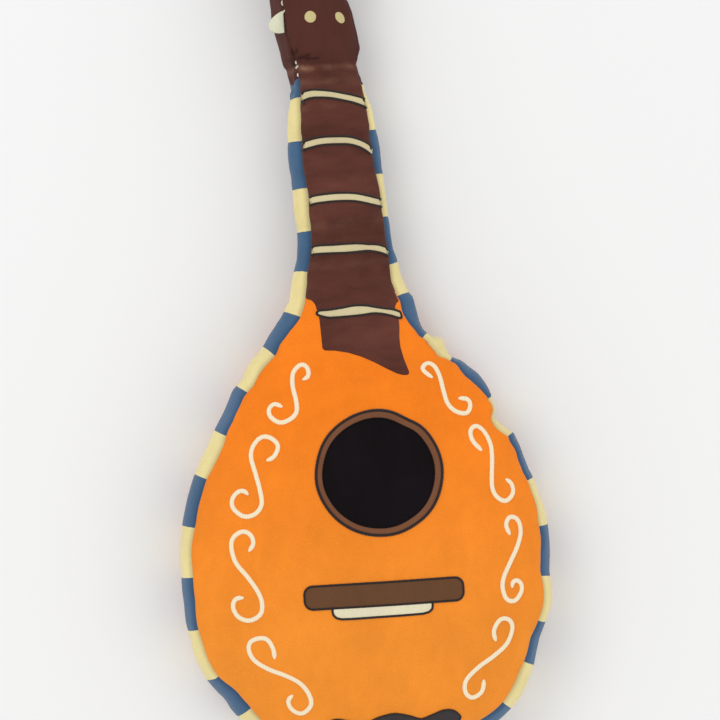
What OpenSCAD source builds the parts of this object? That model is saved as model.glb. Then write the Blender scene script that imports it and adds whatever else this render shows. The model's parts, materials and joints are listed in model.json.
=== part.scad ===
// Stuffed soft toy charango, lying on its back.
// The origin is on the flat rest patch of the back, +Z leaves the front and +Y runs to the headstock.
// Body, neck and headstock are three cushions joined by soft folds.

/* [Body] */
// Width of the body across the seams
body_w = 173; // [120:1:260]
// Distance from the bottom seam to the neck fold
body_l = 238; // [180:1:320]
// Height of the striped band around the body, seam to seam
body_band = 40; // [20:1:60]
// Rise of the front above its seam
front_crown = 16; // [6:1:26]
// Height of the body's mid plane above the rest patch
mid_height = 28; // [22:1:40]

/* [Neck] */
// Length of the neck between its two folds
neck_l = 107; // [70:1:160]
// Width of the neck across the seams
neck_w = 36; // [26:1:60]
// Half thickness of the neck's rounded lower end
neck_knuckle = 17.6; // [12:0.2:24]
// Sideways lean of the neck
neck_lean = 6; // [-10:0.5:10]
// Turn of the neck about its own length
neck_twist = 6; // [-10:0.5:10]

/* [Headstock] */
// Length of the headstock above its fold
head_l = 115; // [70:1:150]
// Width of the headstock across the seams
head_w = 35; // [26:1:60]
// Half thickness of the headstock's rounded lower end
head_knuckle = 14.6; // [10:0.5:22]
// Sideways lean of the headstock against the neck
head_lean = 3; // [-10:0.5:10]
// Turn of the headstock against the neck
head_twist = 11; // [-15:0.5:15]
// Distance from the fold to the first pair of dots
row_start = 23.5; // [18:0.5:40]
// Distance between rows of pegs
row_pitch = 18.5; // [14:0.5:24]
// Length of a peg tab along the seam
tab_l = 10.8; // [6:0.2:16]
// Reach of a peg tab out of the seam
tab_reach = 8.6; // [5:0.2:14]

/* [Fabric] */
// Thickness of the velour panels
skin_t = 1.5; // [1:0.1:3]
// Thickness of the sewn-on patches
patch_t = 1; // [0.6:0.1:2]
// Outward bulge of the striped band
band_bulge = 5.5; // [0:0.5:9]

/* [Trim] */
// Outer radius of the sound hole ring
hole_r = 31.5; // [20:0.5:40]
// Radius of the black pile disc
disc_r = 27; // [16:0.5:36]
// Length of the bridge
bridge_l = 80; // [50:1:110]
// Width of the bridge
bridge_w = 12; // [6:0.5:18]
// Width of the scroll embroidery
scroll_w = 2.3; // [1.5:0.1:3.5]
// Width of a fret
fret_w = 3.6; // [2:0.1:6]

/* [Hidden] */
$fn = 32;

orange = [0.91, 0.5, 0.14];
cream = [0.94, 0.87, 0.62];
brown = [0.36, 0.21, 0.17];
dark_brown = [0.33, 0.2, 0.17];
filling = [0.95, 0.95, 0.93];

crown_power = 0.6;
lift = 0.25;
fold_gap = 1;
band_levels = 6;
// Distance from each fold to the lips of the cushion below it.
neck_lip = 9.5;
head_lip = 7;
// Fold positions: the neck's in the body frame, the headstock's in the neck frame.
neck_fold = [-5, 133];
head_fold = [0, neck_l];

function mix(a, b, t) = a + (b - a) * t;
function clamp01(t) = min(1, max(0, t));

// Catmull-Rom curve from the second point to the last but one.
function curve_point(p, i, t) = 0.5 * (2 * p[i] + (p[i + 1] - p[i - 1]) * t
    + (2 * p[i - 1] - 5 * p[i] + 4 * p[i + 1] - p[i + 2]) * t * t
    + (3 * p[i] - p[i - 1] - 3 * p[i + 1] + p[i + 2]) * t * t * t);
function curve(p, steps) = concat(
    [for (i = [1 : len(p) - 3]) for (s = [0 : steps - 1]) curve_point(p, i, s / steps)],
    [p[len(p) - 2]]);
// The same curve through every point, with doubled ends.
function open_curve(p, steps) = curve(concat([p[0]], p, [p[len(p) - 1]]), steps);

// ---- closed surface of a block of lattice points ----

function quad(a, b, c, d) = [[a, b, c], [a, c, d]];

// point(i, j, k) gives the lattice; caps tells which of the two ends in i are faces.
// mirrored turns the diagonals of the first side in j, to match a band that runs the other way.
module block(ni, nj, nk, point, caps = [true, true], mirrored = false) {
    points = [for (i = [0 : ni]) for (j = [0 : nj]) for (k = [0 : nk]) point(i, j, k)];
    id = function(i, j, k) (i * (nj + 1) + j) * (nk + 1) + k;
    triangles = [
        for (i = [0 : ni - 1]) for (j = [0 : nj - 1]) each concat(
            quad(id(i, j, nk), id(i + 1, j, nk), id(i + 1, j + 1, nk), id(i, j + 1, nk)),
            quad(id(i, j, 0), id(i, j + 1, 0), id(i + 1, j + 1, 0), id(i + 1, j, 0))),
        for (i = [0 : ni - 1]) for (k = [0 : nk - 1]) each concat(
            quad(id(i, nj, k), id(i, nj, k + 1), id(i + 1, nj, k + 1), id(i + 1, nj, k)),
            mirrored ? quad(id(i + 1, 0, k), id(i + 1, 0, k + 1), id(i, 0, k + 1), id(i, 0, k))
                : quad(id(i, 0, k), id(i + 1, 0, k), id(i + 1, 0, k + 1), id(i, 0, k + 1))),
        for (j = [0 : nj - 1]) for (k = [0 : nk - 1]) each concat(
            caps[0] ? quad(id(0, j, k), id(0, j, k + 1), id(0, j + 1, k + 1), id(0, j + 1, k)) : [],
            caps[1] ? quad(id(ni, j, k), id(ni, j + 1, k), id(ni, j + 1, k + 1), id(ni, j, k + 1)) : [])];
    apart = function(a, b) norm(points[a] - points[b]) > 0.0001;
    polyhedron(points, [for (t = triangles)
        if (apart(t[0], t[1]) && apart(t[1], t[2]) && apart(t[2], t[0])) t]);
}

// ---- cushions ----
// A cushion is a list, read by these names.
RIM = 0;          // seam outline of the right side, [half width, y], y rising
SEAM = 1;         // half height between the seams along y
CROWN = 2;        // rise of front and back above their seams
FULL = 3;         // half width at which the crown has its full rise
SPINE = 4;        // sideways position of the middle along y
BULGE = 5;        // outward bulge of the side band
KNUCKLE = 6;      // radius of the rounded lower end, 0 for none
SEAT = 7;         // [fold x, fold y, lip, radius, lean, twist] of the cushion above, or []
FLOOR = 8;        // lowest z the back may reach
COLUMNS = 9;      // columns on each side of the middle
WIDTHS = 10;      // the rim as a lookup table

function widths_of(rim) = [for (p = rim) if (p.y >= 0 || rim[0].x == 0) [p.y, p.x]];
function knuckle_rows(w, r) = [for (a = [72 : -18 : 18]) [w, -r * sin(a)]];

body_scale = [body_w / 173, body_l / 238];
body_rim = [for (p = curve([[-22, -103], [0, -105], [22, -103], [46, -96.5], [64, -82], [77, -57],
    [84.5, -28], [86.5, -3], [82, 26], [72.5, 49], [61, 70], [49.5, 87], [36.5, 101], [27.5, 113],
    [23.5, 123.5], [22, 130]], 2)) [p.x * body_scale.x, p.y * body_scale.y]];
body = [body_rim,
    [[-105, 0.42 * body_band], [-80, body_band / 2], [60, body_band / 2], [95, 0.43 * body_band],
        [123.5, 0.37 * body_band]],
    [front_crown, 10], body_w / 2, [[70, 0], [100, -3.2], [123.5, -4.7]], band_bulge, 0,
    [neck_fold.x, neck_fold.y, neck_lip, neck_knuckle + fold_gap, neck_lean, neck_twist],
    -mid_height, 6, widths_of(body_rim)];

neck_scale = [neck_w / 36, neck_l / 106];
neck_rim_points = [for (p = [[23, -5], [22.3, 0], [21, 8], [19, 17], [18, 30], [18, 50], [17.6, 68],
    [16.4, 82], [14.8, 92], [13.8, 99], [13.5, 104]]) [p.x * neck_scale.x, p.y * neck_scale.y]];
neck_rim = concat(knuckle_rows(neck_rim_points[1].x, neck_knuckle), curve(neck_rim_points, 1));
neck = [neck_rim, [[0, 10.3], [14, 11.5], [60, 11.5], [99, 11]], [5.5, 5.3], neck_w / 2, [[0, 0], [1, 0]],
    band_bulge - 0.7, neck_knuckle,
    [head_fold.x, head_fold.y, head_lip, head_knuckle + fold_gap, head_lean, head_twist],
    -mid_height, 4, widths_of(neck_rim)];

head_scale = [head_w / 35, head_l / 115];
head_rim_points = [for (p = [[13.8, -6], [14.5, 0], [16.8, 9], [17.6, 20], [17.4, 34], [17, 50],
    [16.6, 66], [16.2, 82], [15.8, 97], [14, 107], [8.5, 113.4], [0, 115], [-8.5, 113.4]])
    [p.x * head_scale.x, p.y * head_scale.y]];
head_rim = concat(knuckle_rows(head_rim_points[1].x, head_knuckle), curve(head_rim_points, 1));
head = [head_rim, [[0, 9.3], [90, 9.3], [115, 7.5]], [6.2, 6], head_w / 2, [[0, 0], [1, 0]],
    3.3, head_knuckle, [], -mid_height, 4, widths_of(head_rim)];

// Height of the front (side 1) or back (side -1) outer surface at a point in plan.
function skin(c, side, p) =
    let (w = lookup(p.y, c[WIDTHS]), x = p.x - lookup(p.y, c[SPINE]),
         rise = pow(max(0, w * w - x * x) / pow(c[FULL], 2), crown_power),
         z = lookup(p.y, c[SEAM]) + c[CROWN][side > 0 ? 0 : 1] * rise)
    side > 0 ? z : max(c[FLOOR], -z);

function rim_normal(c, i) =
    let (rim = c[RIM], last = len(rim) - 1, square = (i == last && rim[last].x > 1) || (i == 0 && rim[0].x > 1),
         t = i == 0 ? [1, 0] : i == last ? [-1, 0] : rim[i + 1] - rim[i - 1])
    square ? [1, 0] : i == 0 ? [0, -1] : i == last ? [0, 1] : [t.y, -t.x] / norm(t);

// A point of the seam outline in plan, s -1 left or 1 right, moved inward and bulged.
function rim_point(c, i, s, inward, bulge) =
    let (p = c[RIM][i] + rim_normal(c, i) * (bulge - inward)) [p.x * s, p.y];

function outline_point(c, i, j) =
    let (n = c[COLUMNS], outer = abs(j) > n, s = j < 0 ? -1 : 1,
         p = rim_point(c, i, s, outer ? 0 : skin_t, 0))
    outer ? p : [p.x * sin(90 * abs(j) / n), p.y];

function on_spine(c, p) = [p.x + lookup(p.y, c[SPINE]), p.y];

// How far a row has to move along y to end on the seat for the cushion above.
function seat_shift(c, p) =
    let (s = c[SEAT], last = s[1] - s[2], near = clamp01((p.y - last + 16) / 16),
         off = p.z + (p.x - s[0]) * tan(s[5]),
         depth = max(s[2], sqrt(max(0, s[3] * s[3] - off * off))))
    near * ((p.x - s[0]) * tan(s[4]) + s[2] - depth);

// Rounds the lower end and cuts the seat at the upper end.
function end_shape(c, p) =
    let (squeeze = c[KNUCKLE] > 0 && p.y < 0 ? sqrt(1 - pow(p.y / c[KNUCKLE], 2)) : 1,
         q = [p.x, p.y, p.z * squeeze])
    len(c[SEAT]) > 0 ? q + [0, seat_shift(c, q), 0] : q;

function panel_point(c, side, i, j, outer) =
    let (p = on_spine(c, outline_point(c, i, j)), z = skin(c, side, p))
    end_shape(c, [p.x, p.y, outer ? z : z - side * skin_t]);

// A point between the inner faces of the two panels, at level m of the side band.
function between(c, plan, moved, m) =
    end_shape(c, [moved.x, moved.y, mix(skin(c, -1, plan) + skin_t, skin(c, 1, plan) - skin_t, m / band_levels)]);
function bulge_at(c, m) = c[BULGE] * (1 - pow(2 * m / band_levels - 1, 2));

function band_point(c, i, s, v, m) =
    let (inward = v == 0 ? skin_t : 0, plan = on_spine(c, rim_point(c, i, s, inward, 0)),
         moved = plan + rim_point(c, i, s, inward, bulge_at(c, m)) - rim_point(c, i, s, inward, 0))
    between(c, plan, moved, m);

function stuffing_point(c, i, j, m) =
    let (n = c[COLUMNS], s = sin(90 * j / n), side = j < 0 ? -1 : 1,
         plan = on_spine(c, outline_point(c, i, j)),
         push = rim_point(c, i, side, skin_t, bulge_at(c, m)) - rim_point(c, i, side, skin_t, 0))
    between(c, plan, plan + push * abs(s), m);

function caps_of(c) = [c[RIM][0].x > 1, c[RIM][len(c[RIM]) - 1].x > 1];

module panel(c, side) {
    n = c[COLUMNS] + 1;
    block(len(c[RIM]) - 1, 2 * n, 1,
        function(i, j, k) panel_point(c, side, i, j - n, (side > 0) == (k == 1)), caps_of(c));
}

module stuffing(c) {
    n = c[COLUMNS];
    block(len(c[RIM]) - 1, 2 * n, band_levels,
        function(i, j, k) stuffing_point(c, i, j - n, k), caps_of(c), true);
}

// One side of the band, s -1 left or 1 right.
module band_side(c, s) {
    last = len(c[RIM]) - 1;
    block(last, 1, band_levels,
        function(i, v, m) band_point(c, s > 0 ? i : last - i, s, v, m));
}

// The band of a cushion that is closed at one end; it runs around that end.
module band_around(c) {
    last = len(c[RIM]) - 1;
    closed_low = c[RIM][0].x < 1;
    at = closed_low ? function(u) [abs(u - last), u < last ? -1 : 1]
        : function(u) [last - abs(u - last), u > last ? -1 : 1];
    block(2 * last, 1, band_levels, function(u, v, m) band_point(c, at(u)[0], at(u)[1], v, m));
}

// ---- patches that follow a cushion's front ----

// The front's height, allowing for rows that were moved to meet a seat.
function front_at(c, p) =
    let (s = c[SEAT], near = len(s) > 0 ? clamp01((p.y - s[1] + s[2] + 16) / 16) : 0)
    skin(c, 1, len(s) > 0 ? [p.x, p.y - near * (p.x - s[0]) * tan(s[4])] : p);

// A flat-topped patch between two edges given point by point.
module patch(c, low_edge, high_edge, across, raise = lift, thick = patch_t, caps = [true, true]) {
    block(len(low_edge) - 1, across, 1, function(i, j, k)
        let (p = mix(low_edge[i], high_edge[i], j / across))
        [p.x, p.y, front_at(c, p) + raise + k * thick], caps);
}

// A bar with rounded ends along x, bowed upward, centred at a point and tilted.
module bar(c, at, length, width, radius, tilt, bow = 0, raise = lift, steps = 12) {
    inner = length / 2 - radius;
    xs = concat([for (a = [90 : -30 : 30]) -inner - radius * sin(a)],
        [for (i = [0 : steps]) mix(-inner, inner, i / steps)],
        [for (a = [30 : 30 : 90]) inner + radius * sin(a)]);
    half = function(x) let (over = max(0, abs(x) - inner))
        width / 2 - radius + sqrt(max(0, radius * radius - over * over));
    turn = function(p) at + [p.x * cos(tilt) - p.y * sin(tilt), p.x * sin(tilt) + p.y * cos(tilt)];
    arch = function(x) bow * (1 - pow(2 * x / length, 2));
    patch(c, [for (x = xs) turn([x, arch(x) + half(x)])], [for (x = xs) turn([x, arch(x) - half(x)])],
        2, raise);
}

// Raised embroidery along a line of points.
module scroll(line) {
    path = open_curve(line, 3);
    last = len(path) - 1;
    section = [[-0.5, 0], [-0.28, 0.9], [0.28, 0.9], [0.5, 0]];
    block(last, 1, 1, function(i, j, k)
        let (t = path[min(i + 1, last)] - path[max(i - 1, 0)],
             n = [t.y, -t.x] / norm(t),
             end = (i == 0 || i == last) ? 0.5 : 1,
             s = section[j == 0 ? (k == 0 ? 0 : 1) : (k == 0 ? 3 : 2)],
             p = path[i] + n * s[0] * scroll_w * end)
        [p.x, p.y, front_at(body, p) + lift + s[1] * end]);
}

// ---- frames ----

module in_body() translate([0, 0, mid_height]) children();
module in_neck() in_body() translate(neck_fold) rotate([0, 0, neck_lean]) rotate([0, neck_twist, 0]) children();
module in_head() in_neck() translate(head_fold) rotate([0, 0, head_lean]) rotate([0, head_twist, 0]) children();

// ---- body ----

module body_stuffing() color(filling) in_body() stuffing(body);
module body_front_panel() color(orange) in_body() panel(body, 1);
module body_back_panel() color(orange) in_body() panel(body, -1);
module body_gusset() color(cream) in_body() band_around(body);

// Lower end of the fingerboard, lapping over the orange front.
module fingerboard_tongue() color(brown) in_body()
    patch(body,
        [[-25.5, 120.8], [-22.4, 115], [-21, 106], [-20.3, 99.5], [-19.9, 97.8]],
        [[17.2, 122.6], [18.6, 114], [18.4, 103], [19.6, 94.5], [22.6, 84.8]], 6);

// The decoration is drawn at its full spread and settled toward a point high on the front.
art_centre = [-0.6, 92.5];
art_spread = 0.985;
function settled(p) = art_centre + (p - art_centre) * art_spread;

hole_at = [6.3, 36.8];
art_lean = 2;
module fret_5() color(cream) in_body()
    bar(body, [-1.3, 114.7], 42, fret_w, fret_w / 2 - 0.1, -3.2, 2.6, lift + patch_t + 0.3);

function circle_at(r, a) = hole_at + r * [cos(a), sin(a)];
module sound_hole_patch() color([0.09, 0.07, 0.08]) in_body()
    patch(body, [for (a = [180 : -12 : 0]) circle_at(disc_r - 0.15, a)],
        [for (a = [180 : -12 : 0]) circle_at(disc_r - 0.15, -a)], 8);
module sound_hole_ring() color([0.47, 0.31, 0.21]) in_body()
    patch(body, [for (a = [360 : -9 : 0]) circle_at(disc_r + 0.15, a)],
        [for (a = [360 : -9 : 0]) circle_at(hole_r, a)], 1, caps = [false, false]);

bridge_at = [6.7, -22.4];
module bridge_patch() color([0.4, 0.27, 0.18]) in_body()
    bar(body, bridge_at, bridge_l, bridge_w, 3.5, art_lean);
module saddle_patch() color([0.82, 0.76, 0.57]) in_body()
    bar(body, bridge_at + [-1, -bridge_w / 2 - 2.95], 50, 5.4, 1.5, art_lean);

// Scalloped piece at the bottom edge.
module tailpiece_patch() {
    top_edge = [for (p = open_curve([[-21.5, -91], [-19, -88], [-15, -86.2], [-9, -87], [-2.5, -88.2], [4, -85.6],
        [11, -84.3], [18, -85.4], [24.5, -87.6], [31, -85], [38.5, -83.6], [43, -85], [45.2, -88.5]], 2)) settled(p)];
    last = len(top_edge) - 1;
    color([0.25, 0.22, 0.22]) in_body() patch(body, top_edge,
        [for (i = [0 : last]) [top_edge[i].x, -90.5 - 6.5 * sin(180 * i / last)]], 3);
}

scroll_left_lines = [
    [[-29.5, 83.5], [-26.5, 87], [-30, 91.5], [-35.5, 87], [-36, 80], [-34, 73], [-34.5, 67.5],
        [-37, 64], [-42.5, 61.5], [-47, 64.5], [-48, 68.5], [-45.5, 71], [-41.5, 70]],
    [[-50, 43.5], [-46, 45.5], [-44, 51], [-48, 55], [-52.5, 55], [-56.5, 50.5], [-57.5, 45],
        [-55.5, 37], [-53.5, 28.5], [-53, 21.5], [-56.5, 17], [-62, 16], [-67, 20], [-67.5, 24.5],
        [-65, 28], [-61, 28.5]],
    [[-60, -1.5], [-57.5, 2.5], [-59, 7], [-63, 8.5], [-67.5, 5.5], [-68.5, 0.5], [-66.5, -7],
        [-61, -14], [-56, -21.5], [-54, -27.5], [-55, -33], [-60.5, -36], [-66, -34], [-68.5, -29],
        [-67, -25], [-63, -24.5]],
    [[-48.5, -55.5], [-49, -50.5], [-52, -45.5], [-56.5, -45], [-60.5, -47], [-61, -51.5],
        [-58, -56.5], [-51, -61], [-43, -64.5], [-35.5, -69], [-30.5, -75.5], [-29.5, -80.5],
        [-34.5, -84], [-39.5, -82], [-41.5, -77.5]]];
scroll_right_lines = [
    [[34.5, 82.5], [29.5, 87], [32, 90], [35.5, 88.5], [38, 83.5], [39.5, 76.5], [41.5, 69.5],
        [45.5, 65.5], [51, 64.5], [53, 68.5], [51.5, 71.5], [47, 72]],
    [[58, 45.5], [53.5, 50.5], [52.5, 55.5], [55.5, 58], [59.5, 55], [62.5, 48.5], [63, 41.5],
        [62.5, 33], [62.5, 27], [64.5, 22.5], [69, 20], [73, 23.5], [72.5, 28.5], [69.5, 31]],
    [[71, 3], [69, 8], [71, 12], [75, 10.5], [76.5, 4.5], [74.5, -3], [70.5, -11], [67, -18.5],
        [66.5, -24], [68.5, -29], [73, -29.5], [76.5, -24.5], [75.5, -20]],
    [[62.5, -50], [61.5, -44.5], [65, -39], [69.5, -39.5], [71, -44], [68, -51.5], [61, -57.5],
        [53.5, -62.5], [47, -69], [46.5, -75], [50, -78], [55, -75], [56, -69]]];
module scroll_left(n) color(cream) in_body() scroll([for (p = scroll_left_lines[n - 1]) settled(p)]);
module scroll_right(n) color(cream) in_body() scroll([for (p = scroll_right_lines[n - 1]) settled(p)]);

// ---- neck ----

module neck_stuffing() color(filling) in_neck() stuffing(neck);
module neck_front_panel() color(brown) in_neck() panel(neck, 1);
module neck_back_panel() color(brown) in_neck() panel(neck, -1);
module neck_gusset_left() color(cream) in_neck() band_side(neck, -1);
module neck_gusset_right() color([0.3, 0.41, 0.53]) in_neck() band_side(neck, 1);

// Frets from the headstock down: [y, length, tilt, bow].
frets = [[89.2, 28, -10.7, 2.8], [65.4, 34, -11, 3.7], [37.8, 34.5, -9.6, 2.8], [13.6, 37.5, -8.6, 1.8]];
module fret(n) color(cream) in_neck()
    bar(neck, [0, frets[n - 1][0]], frets[n - 1][1], fret_w, fret_w / 2 - 0.1, frets[n - 1][2],
        frets[n - 1][3], 0.35, 10);

// ---- headstock ----

module head_stuffing() color(filling) in_head() stuffing(head);
module head_front_panel() color(dark_brown) in_head() panel(head, 1);
module head_back_panel() color(dark_brown) in_head() panel(head, -1);
module head_gusset() color(dark_brown) in_head() band_around(head);

// Cream dot on the headstock, laid along the slope of the front.
dot_r = 3;
module post_dot(s, row) {
    p = [1 + s * 8, row_start + (row - 1) * row_pitch - s * 1.3];
    slope = skin(head, 1, p + [1, 0]) - skin(head, 1, p - [1, 0]);
    color(cream) in_head() translate([p.x, p.y, skin(head, 1, p) + 0.45])
        rotate([0, -atan2(slope, 2), 0]) cylinder(h = 0.8, r = dot_r);
}

// Hand stitches that close the left seam of the headstock.
module closing_stitches() color(cream) in_head()
    for (i = [0 : 8]) {
        y = 4 + i * 4.6;
        w = lookup(y, head[WIDTHS]);
        slope = atan((lookup(y + 1, head[WIDTHS]) - lookup(y - 1, head[WIDTHS])) / 2);
        translate([0.35 - w, y, lookup(y, head[SEAM]) + 1.5])
            rotate([90, 0, slope + (i % 2 == 0 ? 4 : -4)])
            cylinder(h = 2.6, r = 0.4, center = true, $fn = 16);
    }

// Padded felt tab. Its root is the y axis and it reaches out along x.
module tab() {
    half = tab_l / 2;
    plump = function(p) let (far = 1 - pow(p.x / tab_reach, 2) - pow(p.y / half, 2))
        0.45 + sqrt(max(0, far)) * mix(0.2, 1, clamp01(p.x / 3));
    block(8, 4, 1, function(i, j, k)
        let (a = 180 * i / 8, p = [tab_reach * sin(a) * j / 4, -half * cos(a)])
        [p.x, p.y, (k == 1 ? 1 : -1) * plump(p)], [true, true]);
}

function tab_root(row) = let (y = row_start + 1 + (row - 1) * row_pitch)
    [lookup(y, head[WIDTHS]) + 1.3, y, lookup(y, head[SEAM]) - 0.4];
module peg_tab_left(row) color([0.86, 0.86, 0.74]) in_head()
    mirror([1, 0, 0]) translate(tab_root(row)) tab();
module peg_tab_right(row) color([0.86, 0.86, 0.74]) in_head() translate(tab_root(row)) tab();

body_stuffing();
body_front_panel();
body_back_panel();
body_gusset();
fingerboard_tongue();
fret_5();
sound_hole_patch();
sound_hole_ring();
bridge_patch();
saddle_patch();
tailpiece_patch();
scroll_left(1);  // scroll_left_1
scroll_left(2);  // scroll_left_2
scroll_left(3);  // scroll_left_3
scroll_left(4);  // scroll_left_4
scroll_right(1);  // scroll_right_1
scroll_right(2);  // scroll_right_2
scroll_right(3);  // scroll_right_3
scroll_right(4);  // scroll_right_4
neck_stuffing();
neck_front_panel();
neck_back_panel();
neck_gusset_left();
neck_gusset_right();
fret(1);  // fret_1
fret(2);  // fret_2
fret(3);  // fret_3
fret(4);  // fret_4
head_stuffing();
head_front_panel();
head_back_panel();
head_gusset();
post_dot(-1, 1);  // post_dot_left_1
post_dot(-1, 2);  // post_dot_left_2
post_dot(-1, 3);  // post_dot_left_3
post_dot(-1, 4);  // post_dot_left_4
post_dot(-1, 5);  // post_dot_left_5
post_dot(1, 1);  // post_dot_right_1
post_dot(1, 2);  // post_dot_right_2
post_dot(1, 3);  // post_dot_right_3
post_dot(1, 4);  // post_dot_right_4
post_dot(1, 5);  // post_dot_right_5
closing_stitches();
peg_tab_left(1);  // peg_tab_left_1
peg_tab_left(2);  // peg_tab_left_2
peg_tab_left(3);  // peg_tab_left_3
peg_tab_left(4);  // peg_tab_left_4
peg_tab_left(5);  // peg_tab_left_5
peg_tab_right(2);  // peg_tab_right_2
peg_tab_right(3);  // peg_tab_right_3
peg_tab_right(4);  // peg_tab_right_4
peg_tab_right(5);  // peg_tab_right_5
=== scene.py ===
"""Looks of the stuffed toy charango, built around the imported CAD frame."""

import json
import math

import bmesh
import bpy
import numpy as np
from mathutils import Matrix, Vector, noise
from mathutils.bvhtree import BVHTree
from mathutils.geometry import delaunay_2d_cdt
from mathutils.kdtree import KDTree


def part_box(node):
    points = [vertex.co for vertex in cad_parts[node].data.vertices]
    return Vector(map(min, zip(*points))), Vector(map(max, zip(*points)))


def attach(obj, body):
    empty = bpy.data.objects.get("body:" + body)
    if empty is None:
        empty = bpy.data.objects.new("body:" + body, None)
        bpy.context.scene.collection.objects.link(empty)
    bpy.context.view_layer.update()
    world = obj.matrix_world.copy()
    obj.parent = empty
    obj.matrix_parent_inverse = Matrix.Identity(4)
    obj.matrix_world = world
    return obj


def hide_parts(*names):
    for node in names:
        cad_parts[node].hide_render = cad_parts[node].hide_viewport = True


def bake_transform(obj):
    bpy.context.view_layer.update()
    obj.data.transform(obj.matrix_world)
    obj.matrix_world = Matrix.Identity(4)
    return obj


MM = 0.001

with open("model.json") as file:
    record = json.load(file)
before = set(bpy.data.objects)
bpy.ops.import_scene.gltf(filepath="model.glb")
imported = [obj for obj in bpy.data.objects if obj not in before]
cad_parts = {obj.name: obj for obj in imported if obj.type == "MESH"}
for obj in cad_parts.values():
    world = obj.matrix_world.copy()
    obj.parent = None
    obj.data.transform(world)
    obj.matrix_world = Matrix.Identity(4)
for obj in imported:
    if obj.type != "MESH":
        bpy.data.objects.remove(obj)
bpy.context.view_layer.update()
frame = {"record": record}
joints = {j["name"]: j for j in frame["record"]["behaviour"]["joints"]}

# ---------------------------------------------------------------- frames (millimetres)


def hinge_frame(joint, along):
    """Columns x, y, z of a cushion's frame: x is its fold's axis, y runs along the cushion."""
    x = np.array(joint["axis"], float)
    y = np.array(along, float)
    x = x / np.linalg.norm(x)
    y = y - x * (x @ y)
    y = y / np.linalg.norm(y)
    return np.column_stack([x, y, np.cross(x, y)])


NECK_AT = np.array(joints["neck_fold"]["pos_m"]) / MM
HEAD_AT = np.array(joints["head_fold"]["pos_m"]) / MM
NECK_AXES = hinge_frame(joints["neck_fold"], HEAD_AT - NECK_AT)
HEAD_AXES = hinge_frame(joints["head_fold"], joints["tab_left_1_fold"]["axis"])
MID = NECK_AT[2]
NECK_T = NECK_AT[1]
HEAD_T = NECK_T + np.linalg.norm(HEAD_AT - NECK_AT)
# The seam that joins the headstock, as sewn: it sits above the fold and runs square to the body.
SEAM_T = HEAD_T + 3.5
SEAM_SLANT = -0.105
SLANT_WIDTH = 11
PLACES = {
    "body": (np.array([0.0, 0.0, MID]), np.eye(3)),
    "neck": (NECK_AT, NECK_AXES),
    "head": (HEAD_AT, HEAD_AXES),
}


def lean_twist(axes):
    """Lean in plan and twist about the length, in degrees, of a cushion's frame."""
    x = axes[:, 0]
    return math.degrees(math.atan2(x[1], x[0])), math.degrees(math.asin(-x[2]))


def turned(lean, twist):
    """Columns x, y, z of a row's frame for a lean and a twist in degrees."""
    a, b = math.radians(lean), math.radians(twist)
    across = np.array([math.cos(a) * math.cos(b), math.sin(a) * math.cos(b), -math.sin(b)])
    along = np.array([-math.sin(a), math.cos(a), 0.0])
    return np.column_stack([across, along, np.cross(across, along)])


def smoothstep(a, b, x):
    """0 up to a, 1 from b on, and a smooth rise between them."""
    t = np.clip((np.asarray(x, float) - a) / (b - a), 0, 1)
    return t * t * (3 - 2 * t)


def catmull(points, steps):
    """A smooth curve through the inner points; the first and last only guide it."""
    p = np.array(points, float)
    made = []
    for i in range(1, len(p) - 2):
        for t in np.arange(steps) / steps:
            slope = p[i + 1] - p[i - 1]
            square = 2 * p[i - 1] - 5 * p[i] + 4 * p[i + 1] - p[i + 2]
            cube = 3 * p[i] - p[i - 1] - 3 * p[i + 1] + p[i + 2]
            made.append(0.5 * (2 * p[i] + slope * t + square * t * t + cube * t**3))
    return np.array(made + [p[-2]])


def resample(path, spacing, closed=False):
    """Points at even steps along a polyline."""
    path = np.array(path, float)
    if closed:
        path = np.vstack([path, path[:1]])
    along = np.concatenate([[0], np.cumsum(np.linalg.norm(np.diff(path, axis=0), axis=1))])
    count = max(3, int(round(along[-1] / spacing)))
    at = np.linspace(0, along[-1], count + 1)
    made = np.column_stack([np.interp(at, along, path[:, k]) for k in range(path.shape[1])])
    return made[:-1] if closed else made


# ---------------------------------------------------------------- the stuffed skin

# Right seam outline from the bottom to the top of the headstock: (half width, place along the toy).
# Every table below gives values at places along the toy; both are in millimetres.
RIM = [
    (-22, -103), (0, -105), (22, -103), (46, -96.5), (64, -82), (77, -57), (84.5, -28), (86.5, -3),
    (82, 26), (72.5, 49), (61, 70), (49.5, 87), (36.5, 101), (27.5, 113), (23.5, 123.5), (22.2, 133),
    (20.8, 141), (19, 150), (18, 163), (18, 183), (17.6, 202), (16.6, 216), (15.6, 226), (15, 234),
    (15, 240), (16.6, 246), (17.6, 256), (17.8, 268), (17.3, 282), (16.8, 300), (16.4, 318), (15.9, 336),
    (14, 347), (8.5, 353.4), (0, 355), (-8.5, 353.4),
]
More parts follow.
